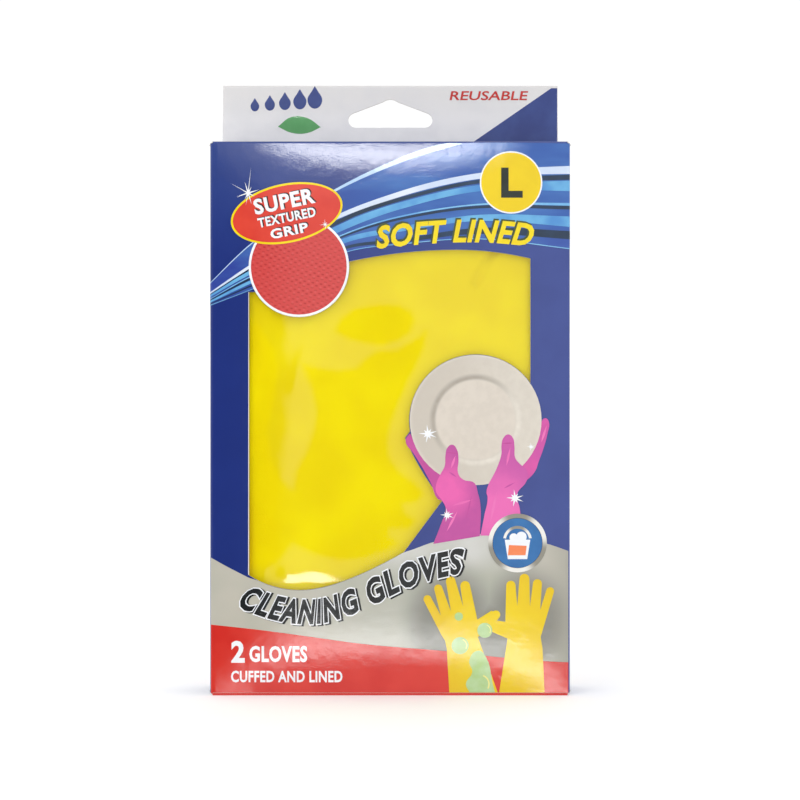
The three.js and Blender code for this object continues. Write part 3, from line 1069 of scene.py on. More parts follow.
def plateMaterial():  # printed china plate: pale grey with a soft ring of shade round its well
    material, tree, shader = newMaterial("chinaPlatePrint", varnish)
    x, z = plate["centre"]
    move = {"Location": (-x * mm, 0, -z * mm), "Scale": (1, 0, 1)}
    place = addNode(tree, "ShaderNodeMapping", move, {"Vector": objectPlace(tree)})
    away = addNode(tree, "ShaderNodeVectorMath", {"operation": "LENGTH"}, {0: place.outputs[0]})
    distance = away.outputs["Value"]
    split = addNode(tree, "ShaderNodeSeparateXYZ", None, {"Vector": place.outputs[0]})
    lean = maths(tree, "SUBTRACT", split.outputs["Z"], split.outputs["X"])
    inner = ramp(tree, distance, 0.0142, 0.0152)
    outer = ramp(tree, distance, 0.0172, 0.0154)
    ring = maths(tree, "MULTIPLY", inner, outer)
    shadeSide = ramp(tree, lean, -0.012, 0.02, 0.05, 1.0)
    lightSide = ramp(tree, lean, 0.006, -0.02, 0.0, 0.8)
    colour = mixColours(tree, ramp(tree, split.outputs["X"], -0.02, 0.022), "C6BEB2", "D5CEC2")
    colour = mixColours(tree, ramp(tree, distance, 0.0148, 0.0138), colour, "D6CDC1")
    colour = mixColours(tree, maths(tree, "MULTIPLY", ring, shadeSide), colour, "A59D92")
    colour = mixColours(tree, maths(tree, "MULTIPLY", ring, lightSide), colour, "E3DDD2")
    colour = mixColours(tree, ramp(tree, distance, 0.0222, 0.024, 0.0, 0.6), colour, "DDD6CB")
    fleck = ramp(tree, noiseAt(tree, 2.5 * mm, 4.0), 0.3, 0.7, 0.0, 0.3)
    colour = mixColours(tree, fleck, colour, "C3BAAE")
    return varnished(material, shader, colour)


hands = {
    "leftFingers": [(7.2, 94.5, 0), (5.6, 92.0), (8.7, 86.9), (12.0, 81.6), (14.5, 77.0), (18.8, 70.2),
                    (22, 74), (22, 80), (17, 82), (11, 88)],
    "leftHand": [(18.2, 79.8), (16.6, 76.0), (16.6, 73.4), (18.7, 70.3), (20.1, 67.4), (18.4, 61.8),
                 (15.6, 54.6, 0), (32.4, 57.4, 0), (32.6, 68.9), (31.7, 72.9), (30.4, 76.6), (26.4, 77.8),
                 (24.6, 80.0), (24.7, 85.1), (24.1, 88.7), (22.4, 90.4), (20.7, 89.3), (20.0, 86.6),
                 (19.7, 82.6)],
    "rightFingers": [(46.7, 83.4), (50.2, 86.6), (52.3, 90.7), (54.3, 95.8), (55.0, 99.3), (56.3, 99.9),
                     (57.4, 98.3), (56.9, 94.6), (55.4, 89.0), (53.6, 84.1), (52.5, 81.0), (49.2, 77.5),
                     (46, 76), (44, 80)],
    "rightHand": [(42.6, 94.1), (40.9, 92.8), (40.2, 90.2), (40.2, 87.2), (38.8, 82.6), (37.1, 79.0),
                  (35.5, 76.0), (34.8, 73.2), (35.2, 71.4), (34.0, 64.8), (32.6, 57.6, 0), (47.6, 57.6, 0),
                  (46.8, 67.4), (45.8, 72.4), (49.4, 77.5), (49.4, 81.0), (46.7, 83.6), (45.2, 85.6),
                  (44.9, 89.9), (44.3, 92.9)],
    # folds and nails: pairs of points joined by a thin dark or light stroke
    "darkStrokes": [
        ((20.3, 87.6), (24.5, 87.2)), ((40.3, 90.8), (44.6, 91.0)), ((27.4, 63.5), (29.6, 72.5)),
        ((21.2, 80.6), (24.2, 78.6)), ((41.0, 74.6), (45.2, 76.8)), ((9.6, 87.4), (14.6, 79.4)),
    ],
    "lightStrokes": [
        ((22.4, 68.4), (30.0, 70.6)), ((22.0, 81.8), (23.6, 86.4)), ((36.2, 62.4), (38.6, 73.8)),
        ((42.0, 82.8), (43.4, 89.4)), ((54.6, 91.2), (56.6, 97.4)), ((20.4, 59.0), (24.4, 66.6)),
    ],
    # centre and reach
    "sparkles": [((13.7, 94.3), 3.4), ((20.6, 65), 2.5), ((45.1, 71.1), 3.2), ((50.9, 89.6), 1.5)],
}


def strokePoints(start, end, half):  # a thin spindle between two points
    along = Vector((end[0] - start[0], end[1] - start[1]))
    side = Vector((-along.y, along.x)).normalized() * half
    centre = Vector(start) + along * 0.45
    return [(*start, 0), tuple(centre + side), (*end, 0), tuple(centre - side)]


def printPlateAndHands():
    p = plate
    leftPink = shadedPrint("leftHandPrint", "E35FAB", "B94C99", (20, 74), (2, 15))
    rightPink = shadedPrint("rightHandPrint", "E468B1", "C354A2", (38, 66), (3, 22))
    parts = [
        inkPicture("leftFingers", hands["leftFingers"], inks["pinkDark"], 3, front),
        inkPicture("rightFingersEdge", hands["rightFingers"], inks["pink"], 3, front),
        inkDisc("plate", p["centre"], p["radii"], plateMaterial(), 4, front),
        inkPicture("leftHand", hands["leftHand"], leftPink, 5, front),
        inkPicture("rightHand", hands["rightHand"], rightPink, 5, front),
    ]
    for start, end in hands["darkStrokes"]:
        parts.append(inkPicture("fold", strokePoints(start, end, 0.28), inks["pinkDark"], 6, front))
    for start, end in hands["lightStrokes"]:
        parts.append(inkPicture("sheen", strokePoints(start, end, 0.42), inks["pinkLight"], 6, front))
    for centre, reach in hands["sparkles"]:
        parts.append(inkShape("sparkle", [star(centre, reach, 9, 0.3, 0.3)], inks["white"], 7, front))
    return parts


gloveArt = {
    # each hand from its cuff round: fingers as tip's centre, radius and lean, other entries are corners
    "left": [
        (21.4, 0.85), (20.5, 16.4), (19.9, 19.6), (18.5, 21.8), ((13.5, 34.7), 1.45, 20), (18.3, 28.8),
        ((17.4, 38.5), 1.5, 13), (22.0, 30.1), ((21.9, 41.1), 1.75, 8), (26.4, 31.9),
        ((27.1, 39.5), 1.75, 8), (31.5, 27.3), (36.6, 30.5), ((38.2, 29.0), 1.6, -50), (38.9, 27.3),
        (36.0, 23.9), (31.7, 21.0), (38.9, 0.85),
    ],
    "right": [
        (39.4, 0.85), (42.4, 20.4), (36.7, 22.9), ((34.4, 25.0), 1.8, 100), (36.2, 27.2), (41.6, 26.5),
        ((43.6, 39.6), 1.7, 2), (45.9, 32.1), ((48.5, 42.0), 1.8, 1), (50.5, 31.9),
        ((53.2, 40.2), 1.65, -4), (54.2, 30.6), ((57.8, 37.5), 1.45, -14), (54.4, 21.0),
        (55.1, 16.5), (55.8, 0.85),
    ],
    "bubbles": [((24.8, 28.4), 1.5), ((34.2, 23.4), 2.7), ((25.3, 17.9), 3.1)],
    "foam": [
        (31.9, 16.1), (28.6, 12.6), (29.7, 8.3), (27.4, 3.9), (28.8, 0.9, 0), (37.9, 0.9, 0), (37.2, 3.4),
        (34.5, 13.9),
    ],
}


def handOutline(entries, size=1.0, across=0.0, up=0.0):
    points = []
    for entry in entries:
        if len(entry) == 2:
            points.append(entry)
        else:
            centre, radius, lean = entry
            turn = math.radians(lean)
            points += arc(centre, radius, math.pi + turn, turn, 9)
    return [(x * size + across, z * size + up) for x, z in points]


def printGlovePictures():
    gold = shadedPrint("gloveArtPrint", "EACC08", "DFB907", (38, 22), (6, 34))
    parts = [
        inkShape("rightArt", [handOutline(gloveArt["right"])], gold, 3, front),
        inkShape("leftArt", [handOutline(gloveArt["left"])], gold, 4, front),
    ]
    for centre, radius in gloveArt["bubbles"]:
        parts.append(inkDisc("bubble", centre, (radius, radius), inks["green"], 5, front))
    parts.append(inkPicture("foam", gloveArt["foam"], inks["green"], 5, front))
    for centre, radius in gloveArt["bubbles"][1:] + [((32.4, 3.9), 4.4)]:
        rim = arc(centre, radius * 0.82, -0.5, 1.2, 8) + arc(centre, radius * 0.7, 1.2, -0.5, 8)
        parts.append(inkShape("shine", [rim], inks["lemon"], 6, front))
    return parts


careBadge = {"centre": (46.0, 54.9), "radius": 10.6, "ring": 1.7}


def printCareBadge():  # a plain round badge with a cleaning bucket and a sponge
    c = careBadge
    x, z = c["centre"]
    r = c["radius"]
    parts = [inkDisc("ring", c["centre"], (r, r), silverPrint("silverRingPrint", c["centre"]), 7, front)]
    inner = r - c["ring"]
    parts.append(inkDisc("ringEdge", c["centre"], (inner + 0.15, inner + 0.15), inks["navy"], 8, front))
    parts.append(inkDisc("face", c["centre"], (inner, inner), inks["discBlue"], 9, front))
    bucket = [(x - 4.6, z + 1.2), (x - 3.5, z - 5.8), (x + 3.5, z - 5.8), (x + 4.6, z + 1.2)]
    parts.append(inkShape("bucket", [bucket], inks["white"], 10, front))
    grip, low, high = (x, z + 1.0), 0.15, math.pi - 0.15
    handle = arc(grip, 5.2, low, high, 16) + arc(grip, 4.2, high, low, 16)
    parts.append(inkShape("handle", [handle], silverPrint("silverHandlePrint", c["centre"]), 10, front))
    sponge = [(x - 3.5, z - 4.4), (x + 2.9, z - 4.4), (x + 3.3, z - 1.0), (x - 3.1, z - 0.7)]
    parts.append(inkShape("sponge", [sponge], inks["orange"], 11, front))
    parts.append(inkDisc("suds", (x - 1.4, z + 2.0), (1.5, 1.5), inks["white"], 10, front))
    parts.append(inkDisc("suds", (x + 1.4, z + 2.2), (1.9, 1.9), inks["white"], 10, front))
    return parts


def printed(name, parts, slot="printed_board"):
    obj = join(name, parts)
    smooth(obj, 40)
    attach(obj, "carton")
    print("printed", name, len(obj.data.polygons), "faces")
    return obj


tabArt = {"corner": [(30.0, 202.2), (62.3, 202.2), (62.3, 222.95), (60.1, 222.95)],
          "words": ("REUSABLE", 3.3, 28.6, (22.2, 218.5), 0.022),
          "leaf": [(-42, 208.6, 0), (-37, 212.2), (-31, 211.8), (-26, 208.4, 0), (-31, 206.2),
                   (-37, 206.3)],
          # the drops: how many, the first one's place, the pitch, then the first one's size and growth
          "drops": 5, "dropAcross": -50.6, "dropFoot": 214.3, "dropPitch": (5.6, 0.25),
          "dropSize": 1.6, "dropGrowth": 0.28}


def printTab():  # blue corner, an abstract leaf under a row of blue drops, and a word
    t = tabArt
    parts = [inkShape("tabCorner", [t["corner"]], inks["tabBlue"], 1, onTab, 2)]
    words, height, width, start, weight = t["words"]
    letters = shifted(lettering("tabWords", words, height, width, weight, 0.2), start[0], start[1])
    paint(letters, inks["letterRed"])
    parts.append(layInk(letters, 2, onTab, 2))
    # the mark: a row of blue drops that grow, over a green leaf
    for step in range(t["drops"]):
        x = t["dropAcross"] + step * t["dropPitch"][0]
        foot = t["dropFoot"] + t["dropPitch"][1] * step
        size = t["dropSize"] + t["dropGrowth"] * step
        tip = foot + 3.1 * size
        drop = [(x, foot), (x + size, foot + size), (x + 0.3 * size, tip - 0.5 * size), (x, tip, 0),
                (x - 0.3 * size, tip - 0.5 * size), (x - size, foot + size)]
        parts.append(inkPicture("markDrop", drop, inks["tabBlue"], 1, onTab))
    parts.append(inkPicture("markLeaf", t["leaf"], inks["markGreen"], 1, onTab))
    return parts


backBands = {
    "reach": carton["flat"] + 0.3,
    # upper edges between the ends of that reach, and the heights at its ends
    "grey": [(-30, 46), (0, 41), (30, 44)], "greyEnds": (51.4, 50.3),
    "red": [(0, 16)], "redEnds": (11.7, 25.5),
}


def printBackBands():  # the red foot band and grey wave cross the back too, and the sides are plain blue
    place = onWall("back")
    reach = backBands["reach"]
    foot = [(-reach, carton["crease"]), (reach, carton["crease"])]
    parts = []
    for name, ink, layer, rows in (("grey", backGrey, 1, 12), ("red", inks["red"], 2, 6)):
        left, right = backBands[name + "Ends"]
        top = [(-reach, left)] + backBands[name] + [(reach, right)]
        parts.append(inkBand(name + "Back", foot, top, -reach, reach, ink, layer, place, 2.6, rows))
    return parts


backPanel = {
    "half": 49, "low": 60, "high": 188, "corner": 5,
    # words, height, width, middle of the baseline up the wall, weight, ink
    "lines": [
        ("CLEANING GLOVES", 6.4, 74, 174, 0.04, "navy"),
        ("SOFT COTTON LINING", 3.4, 52, 165.5, 0.03, "red"),
        ("HOW TO USE", 4.2, 36, 111, 0.04, "navy"),
        ("DRY HANDS BEFORE USE", 3.0, 56, 102.5, 0.02, "black"),
        ("RINSE AND HANG TO DRY", 3.0, 58, 95, 0.02, "black"),
        ("STORE OUT OF THE SUN", 3.0, 57, 87.5, 0.02, "black"),
        ("KEEP CLEAR OF OPEN FIRE", 3.0, 61, 80, 0.02, "black"),
        ("SIZE L", 5.0, 20, 68, 0.04, "red"),
    ],
}


def printBackPanel():  # a plain information panel: generic words and the outline of the pair
    b = backPanel
    place = onWall("back")
    half, low, high, corner = b["half"], b["low"], b["high"], b["corner"]
    outline = []
    for x, z, start in ((half, high, 0), (-half, high, 90), (-half, low, 180), (half, low, 270)):
        centre = (x - math.copysign(corner, x), z - corner if z == high else z + corner)
        outline += arc(centre, corner, math.radians(start), math.radians(start + 90), 8)
    parts = [inkShape("panel", [outline], inks["panelWhite"], 1, place)]
    for words, height, width, up, weight, ink in b["lines"]:
        letters = shifted(lettering("panelWords", words, height, width, weight, 0, 1.07), -width / 2, up)
        paint(letters, inks[ink])
        parts.append(layInk(letters, 2, place))
    for hand, ink, layer in (("right", "gloveYellow", 2), ("left", "yellow", 3)):
        outline = handOutline(gloveArt[hand], 0.85, -30.5, 121)
        parts.append(inkShape("panelHand", [outline], inks[ink], layer, place))
    return parts


backGrey = inkMaterial("greyPrint", "C0BCB0", "B4B3A6", 20 * mm)


# Window film: thin clear polyester glued behind the board. It mirrors the room more where it leans.
filmShape = {
    "thickness": 0.12, "gap": 0.05, "rise": 0.35, "riseReach": 5.0,
    # centre, reach and height of soft rises and dents, millimetres
    "hills": [((-5, 121.5), (22, 5.5), 0.03), ((8, 96), (9, 22), -0.05), ((-36, 120), (8, 34), 0.05),
              ((20, 148), (26, 12), 0.08), ((-37, 44), (3.2, 2.8), 0.055), ((-27, 45), (7, 3.2), 0.035),
              ((-45.9, 44.6), (2, 2.2), 0.03)],
    # creases: two ends, reach and height
    "creases": [((-40, 58), (6, 74), 5.0, 0.07), ((33, 150), (44, 128), 3.0, 0.05),
                ((-24, 140), (-34, 112), 3.0, 0.05)],
    # where the film clings to the rubber its inner face no longer mirrors: two outlines
    "clings": [
        [(-19.9, 131.2), (-17.9, 135.6), (-13, 139.3), (-4.5, 140.9), (3.2, 140.6), (7.6, 138.4),
         (8.9, 135.3), (7.5, 131.2), (3, 128), (-2.8, 126), (-8, 126.8), (-14.5, 128.4)],
        [(-32, 119.8), (-26, 118), (-18.5, 117), (-12, 118), (-9, 121.3), (-4.5, 124.2), (2.4, 124.6),
         (8.8, 128), (13.4, 131.6), (12.2, 125.4), (9.6, 119.4), (6.3, 113), (3, 105.5), (0.2, 98),
         (-1.1, 90.5), (0.2, 84.6), (4, 79.8), (9, 76.5), (12.2, 72.7), (9.4, 69.8), (4.2, 69),
         (5.2, 65.8), (9.4, 62.8), (6.2, 60), (-0.4, 60.2), (-0.6, 57.4), (2.8, 54.8), (-1.2, 52.4),
         (-9.5, 49.6), (-18.5, 48.8), (-27, 50.8), (-35.4, 54.8), (-39.2, 49.2), (-45, 45.8),
         (-54, 46.4), (-54, 138), (-50, 136), (-45.8, 131.2), (-41.8, 124.6), (-40.6, 118),
         (-41.8, 106.4), (-44.2, 95.6), (-43.2, 85.6), (-39, 77.4), (-35, 74), (-33.6, 81.5),
         (-30, 88), (-27.2, 96.4), (-26.4, 103), (-28.2, 110.5)],
    ],
    # half the width of their soft edge, and the mirror's strength off and on the rubber
    "clingEdge": 1.3, "freeSheen": 1.5, "clingSheen": 0.12,
}


def filmMaterial():  # clear film: sees through, with a mirror's sheen that grows at a slant
    material = bpy.data.materials.new("clearWindowFilm")
    material.use_nodes = True
    tree = material.node_tree
    tree.nodes.remove(tree.nodes["Principled BSDF"])
    clear = addNode(tree, "ShaderNodeBsdfTransparent", {"Color": (1, 1, 1, 1)})
    swell = noiseAt(tree, 6 * mm, 1.0)
    wave = addNode(tree, "ShaderNodeBump", {"Distance": 0.012 * mm}, {"Height": swell})
    mirror = addNode(tree, "ShaderNodeBsdfGlossy", {"Roughness": 0.03}, {"Normal": wave.outputs[0]})
    share = addNode(tree, "ShaderNodeFresnel", {"IOR": 1.52})
    mix = addNode(tree, "ShaderNodeMixShader", None, {1: clear.outputs[0], 2: mirror.outputs[0]})
    # a ray that leaves the sheet isn't mirrored back into it, as the thin sheet doesn't bend light
    outside = maths(tree, "SUBTRACT", 1.0, addNode(tree, "ShaderNodeNewGeometry").outputs["Backfacing"])
    cling = addNode(tree, "ShaderNodeAttribute", {"attribute_name": "cling"}).outputs["Fac"]
    sheen = ramp(tree, cling, 0.0, 1.0, filmShape["freeSheen"], filmShape["clingSheen"], False)
    sheen = maths(tree, "MULTIPLY", sheen, outside)
    tree.links.new(maths(tree, "MULTIPLY", share.outputs[0], sheen), mix.inputs[0])
    # light reaches the gloves unweakened, so that the film doesn't grey them
    path = addNode(tree, "ShaderNodeLightPath")
    lets = maths(tree, "MAXIMUM", path.outputs["Is Shadow Ray"], path.outputs["Is Diffuse Ray"])
    mix = addNode(tree, "ShaderNodeMixShader", None, {0: lets, 1: mix.outputs[0], 2: clear.outputs[0]})
    tree.links.new(mix.outputs[0], tree.nodes["Material Output"].inputs["Surface"])
    return material


def filmHeight(x, z):  # how far the film stands out of its glued plane
    f = filmShape
    w = window
    foot = z - 40.0 - 0.3 * max(0, x - 5)
    edges = (x - w["left"], w["right"] - x, foot / 3, w["top"] - z)
    height = f["rise"]
    for away in edges:
        height *= 1 - math.exp(-max(0, away) / f["riseReach"])
    for centre, reach, rise in f["hills"]:
        height += rise * hill(x, z, *centre, *reach)
    for start, end, reach, rise in f["creases"]:
        height += rise * ridge(x, z, start, end, reach)
    wrinkle = 0.07 * noise.noise(Vector((x / 17, z / 17, 3.1)))
    return height + wrinkle + 0.015 * noise.noise(Vector((x / 7, z / 9, 8.4)))


def clingAt(x, z):  # 1 where the film clings to the glove, 0 where it stands free
    most = 0.0
    for outline in filmShape["clings"]:
        inside = False
        nearest = 1000.0
        for (ax, az), (bx, bz) in zip(outline, outline[1:] + outline[:1]):
            if (az > z) != (bz > z) and x < ax + (z - az) * (bx - ax) / (bz - az):
                inside = not inside
            share = ((x - ax) * (bx - ax) + (z - az) * (bz - az)) / ((bx - ax) ** 2 + (bz - az) ** 2)
            share = min(1, max(0, share))
            nearest = min(nearest, math.hypot(x - ax - share * (bx - ax), z - az - share * (bz - az)))
        edge = filmShape["clingEdge"]
        most = max(most, smoothStep(-edge, edge, nearest if inside else -nearest))
    return most


def windowFilm():
    low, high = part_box("window_film")
    low, high = low / mm, high / mm
    obj = flatBoard("windowFilm", (low.x, low.z), (high.x, high.z), 1.0, filmMaterial())
    paint(obj, obj.data.materials[0])
    finishModifier(obj, "SOLIDIFY", thickness=filmShape["thickness"], offset=-1)
    cling = obj.data.attributes.new("cling", "FLOAT", "POINT")
    for vertex, spot in zip(obj.data.vertices, cling.data):
        spot.value = clingAt(vertex.co.x, vertex.co.z)
    behind = carton["board"] + filmShape["gap"]

    def place(across, depth, up):
        return front(across, behind + depth - filmHeight(across, up), up)
    wrapped(obj, place)
    for face in obj.data.polygons:
        face.use_smooth = True
    smooth(obj, 40)
    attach(obj, "carton")
    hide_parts("window_film")
    return obj


# Gloves: dipped nitrile with a flock lining, pressed flat, folded once over a soft bend
glove = {
    "wall": 2.4, "foldRadius": 3.9, "foldHeight": 6.7, "cuffTop": 184.2, "cuffHalf": 59.2, "palmHalf": 55,
    "fingerWidth": 23.2, "fingerGap": 1.8, "palmEnd": 96, "tips": (147, 160, 155, 138), "cell": 6.5,
    "pocket": 26, "lip": 0.75, "mostLift": 0.55,
    "spread": 1.06,       # how far the fingers fan out from their packed places
    # the thumb: its foot's start and length along the palm, first move, later moves and their shrinking
    "thumbAlong": 18, "thumbFoot": 30, "thumbStart": (1.5, -4, 0), "thumbSteps": 6,
    "thumbStep": (-0.6, -8.5, 0), "thumbShrink": (0.9, 0.78, 1),
    # soft folds seen through the window: two ends, reach, height towards the front
    "folds": [((-42, 147), (-47.5, 118), 5.0, 0.55), ((-47.5, 118), (-51, 88), 5.0, 0.45),
              ((-36.5, 141), (-46, 98), 4.5, -0.9), ((37.8, 162), (31.0, 149), 1.5, -1.3),
              ((41.5, 162), (35.5, 147), 2.6, 0.35), ((-44, 44), (-14, 41), 5.0, 0.4),
              ((-30, 52), (8, 60), 8.0, -0.25), ((-20, 160), (30, 166), 9.0, 0.3)],
}


def gloveMaterial():  # nitrile rubber: strong yellow, satin from its chlorinated skin, faintly pebbled
    settings = {"Roughness": 0.36, "Specular IOR Level": 0.03, "IOR": 1.52, "Subsurface Weight": 0.04,
                "Subsurface Scale": 0.002}
    material, tree, shader = newMaterial("yellowNitrileRubber", settings)
    broad = noiseAt(tree, 26 * mm, 2.0)
    fine = noiseAt(tree, 0.7 * mm, 2.0)
    colour = mixColours(tree, ramp(tree, broad, 0.35, 0.7), "ECD900", "E4CD01")
    split = splitPlace(tree)
    # painted shade: the rubber is darkened to deeper gold towards the left edge and the lower part of the
    # window, where the glove curves away from the light and the board shades it
    edge = ramp(tree, split.outputs["X"], -0.047, -0.053, 0.0, 0.7)
    low = ramp(tree, split.outputs["Z"], 0.085, 0.055, 0.0, 1.0)
    colour = mixColours(tree, maths(tree, "MULTIPLY", edge, low), colour, "DDB008")
    tree.links.new(colour, shader.inputs["Base Color"])
    tree.links.new(ramp(tree, broad, 0.3, 0.7, 0.32, 0.42), shader.inputs["Roughness"])
    skin = addNode(tree, "ShaderNodeBump", {"Distance": 0.012 * mm}, {"Height": fine})
    tree.links.new(skin.outputs[0], shader.inputs["Normal"])
    return material


def liningMaterial():  # cotton flock inside the cuff: matt pale fibres
    material, tree, shader = newMaterial("cottonFlockLining", {"Roughness": 0.95, "Sheen Weight": 0.5})
    tuft = noiseAt(tree, 0.6 * mm, 3.0)
    colour = mixColours(tree, ramp(tree, tuft, 0.3, 0.7), "E9DC8E", "F4EDC4")
    tree.links.new(colour, shader.inputs["Base Color"])
    bump = addNode(tree, "ShaderNodeBump", {"Distance": 0.12 * mm}, {"Height": tuft})
    tree.links.new(bump.outputs[0], shader.inputs["Normal"])
    return material


nitrile = gloveMaterial()
lining = liningMaterial()


def gloveColumns():  # places across the palm: four fingers of four cells with narrow webs between
    width = glove["fingerWidth"]
    places = []
    for finger in range(4):
        left = (finger - 2) * (width + glove["fingerGap"]) + glove["fingerGap"] / 2
        places += [left + width * i / 4 for i in range(5)]
    return places


def foldLift(x, z):  # how far the pressed folds and a slow swell lift the rubber
    folds = sum(h * ridge(x, z, a, b, r) for a, b, r, h in glove["folds"])
    return folds + 0.2 * noise.noise(Vector((x / 24, z / 30, 1.7)))


def tipWidth(share):  # how a finger's width rounds off towards its tip
    return math.cos(math.asin(min(0.92, max(0, share - 0.72) / 0.30)))


def makeGlove(name, node, mirror, shift):
    g = glove
    bend = math.pi * g["foldRadius"]
    straight = g["cuffTop"] - g["foldHeight"]
    palmLength = straight + bend + g["palmEnd"] - g["foldHeight"]
    columns = gloveColumns()
    rows = round(palmLength / g["cell"])
    clearSelection()
    bpy.ops.mesh.primitive_grid_add(x_subdivisions=len(columns) - 1, y_subdivisions=rows, size=1)
    obj = newest(name)

    def spread(point):  # columns run even at the cuff and gather into fingers at the palm
        index = round((point.x + 0.5) * (len(columns) - 1))
        along = (0.5 - point.y) * palmLength
        half = g["cuffHalf"] + (g["palmHalf"] - g["cuffHalf"]) * smoothStep(20, 200, along)
        even = (point.x * 2) * half
        gathered = columns[index] * g["spread"]
        share = smoothStep(straight, palmLength - 20, along)
        return Vector((even * (1 - share) + gathered * share, -along, 0))
    moveVertices(obj, spread)
    mesh = obj.data
    for finger in range(4):  # fingers grow from the palm's end, each in short steps
        left = columns[finger * 5] * g["spread"]
        right = columns[finger * 5 + 4] * g["spread"]
        centre = (left + right) / 2
        length = g["tips"][finger] - g["palmEnd"]
        steps = 8
        for step in range(steps):
            y = -palmLength - length * step / steps
            after = tipWidth((step + 1) / steps)
            before = tipWidth(step / steps)
            editSome(
                obj, "EDGE",
                lambda item: abs(mesh.vertices[item.vertices[0]].co.y - y) < 0.01
                and abs(mesh.vertices[item.vertices[1]].co.y - y) < 0.01
                and left - 0.1 < middle(mesh, item).x < right + 0.1,
                lambda: bpy.ops.mesh.extrude_region_move(
                    TRANSFORM_OT_translate={"value": (0, -length / steps, 0)}),
                lambda: bpy.ops.transform.resize(
                    value=(after / before, 1, 1), center_override=(centre, y, 0)))
            mesh = obj.data
    reach = straight + bend + g["thumbAlong"]

    def atThumb(item):  # the thumb leaves the edge of the palm
        spot = middle(mesh, item)
        start, finish = [mesh.vertices[index].co.x for index in item.vertices]
        upright = abs(start - finish) < 1.5
        return upright and spot.x > columns[-1] * 0.97 and reach < -spot.y < reach + g["thumbFoot"]
    editSome(obj, "EDGE", atThumb, lambda: bpy.ops.mesh.extrude_region_move(
        TRANSFORM_OT_translate={"value": g["thumbStart"]}))
    for step in range(g["thumbSteps"]):
        pick(obj)
        bpy.ops.object.mode_set(mode="EDIT")
        bpy.ops.mesh.extrude_region_move(TRANSFORM_OT_translate={"value": g["thumbStep"]})
        bpy.ops.transform.resize(value=g["thumbShrink"])
        bpy.ops.object.mode_set(mode="OBJECT")
    if mirror:
        moveVertices(obj, lambda point: Vector((-point.x, point.y, point.z)))
    editAll(obj, lambda: bpy.ops.mesh.normals_make_consistent(inside=False))
    if obj.data.polygons[0].normal.z < 0:
        editAll(obj, lambda: bpy.ops.mesh.flip_normals())
    paint(obj, nitrile, lining)
    finishModifier(obj, "SOLIDIFY", thickness=g["wall"], offset=0, use_even_offset=False)
    # the cuff's mouth: the end face is inset and pushed in as a pocket
    def atCuff(face):
        return face.center.y > -0.01 and abs(face.normal.y) > 0.9
    editSome(
        obj, "FACE", atCuff,
        lambda: bpy.ops.mesh.inset(thickness=g["lip"], use_even_offset=True),
        lambda: bpy.ops.mesh.extrude_region_move(
            TRANSFORM_OT_translate={"value": (0, -g["pocket"], 0)}))
    for face in obj.data.polygons:
        inside = abs(face.center.z) < g["wall"] / 2 - 0.3 and face.center.y > -g["pocket"] - 0.1
        nearRim = abs(face.center.x) > g["cuffHalf"] - 0.9
        face.material_index = 1 if inside and not nearRim and abs(face.normal.y) < 0.98 else 0
    fineness = 2 if mirror else 3  # the glove behind the film shows its small folds
    finishModifier(obj, "SUBSURF", levels=fineness, render_levels=fineness)

    def fold(point):  # bends the flat glove over its foot: cuff half in front, hand half behind
        along = -point.y
        out = point.z
        if along < straight:
            x, z = point.x, g["cuffTop"] - along
            lift = 0
            if not mirror:
                lift = foldLift(x, z) + 0.05 * noise.noise(Vector((x / 6, z / 11, 4.4)))
                lift *= smoothStep(10, 30, z) * smoothStep(184, 168, z)
            lift = min(lift, g["mostLift"])
            return Vector((x, -g["foldRadius"] - out - lift, z)) + shift
        if along < straight + bend:
            angle = (along - straight) / g["foldRadius"]
            radius = g["foldRadius"] + out
            z = g["foldHeight"] - radius * math.sin(angle)
            return Vector((point.x, -radius * math.cos(angle), z)) + shift
        z = g["foldHeight"] + along - straight - bend
        plump = 0.25 * noise.noise(Vector((point.x / 18, z / 22, 5.3)))
        return Vector((point.x, g["foldRadius"] + out - plump * 0.5 - 0.15, z)) + shift
    moveVertices(obj, fold)
    moveVertices(obj, lambda point: point * mm)
    for face in obj.data.polygons:
        face.use_smooth = True
    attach(obj, node)
    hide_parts(node)
    print("glove", name, len(obj.data.polygons), "faces")
    return obj


grip = {
    "rows": 34, "columns": 6, "pitch": 1.25, "left": -51.5, "foot": 54, "radius": 0.42,
    "sink": 0.25,         # how deep a dot's middle lies in the rubber
    "flatness": 0.8,      # its depth as a share of its height
}


def gripDots(gloveObject):  # raised grip dots along one edge of the cuff, staggered rows
    clearSelection()
    bpy.ops.mesh.primitive_uv_sphere_add(segments=8, ring_count=5, radius=grip["radius"])
    dome = newest("gripDot")
    depth = gloveObject["frontSkin"] + grip["sink"]
    pitch = grip["pitch"]
    dots = []
    for row in range(grip["rows"]):
        for column in range(grip["columns"]):
            x = grip["left"] + pitch * column + (pitch / 2 if row % 2 else 0)
            z = grip["foot"] + pitch * row
            y = depth - min(foldLift(x, z), glove["mostLift"])
            dot = copyOf(dome, "gripDot")
            moveVertices(dot, lambda p: Vector((x + p.x, y + p.y * grip["flatness"], z + p.z)) * mm)
            dots.append(dot)
    bpy.data.objects.remove(dome)
    obj = join("gripDots", dots)
    paint(obj, nitrile)
    smooth(obj, 60)
    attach(obj, "left_glove")
    return obj


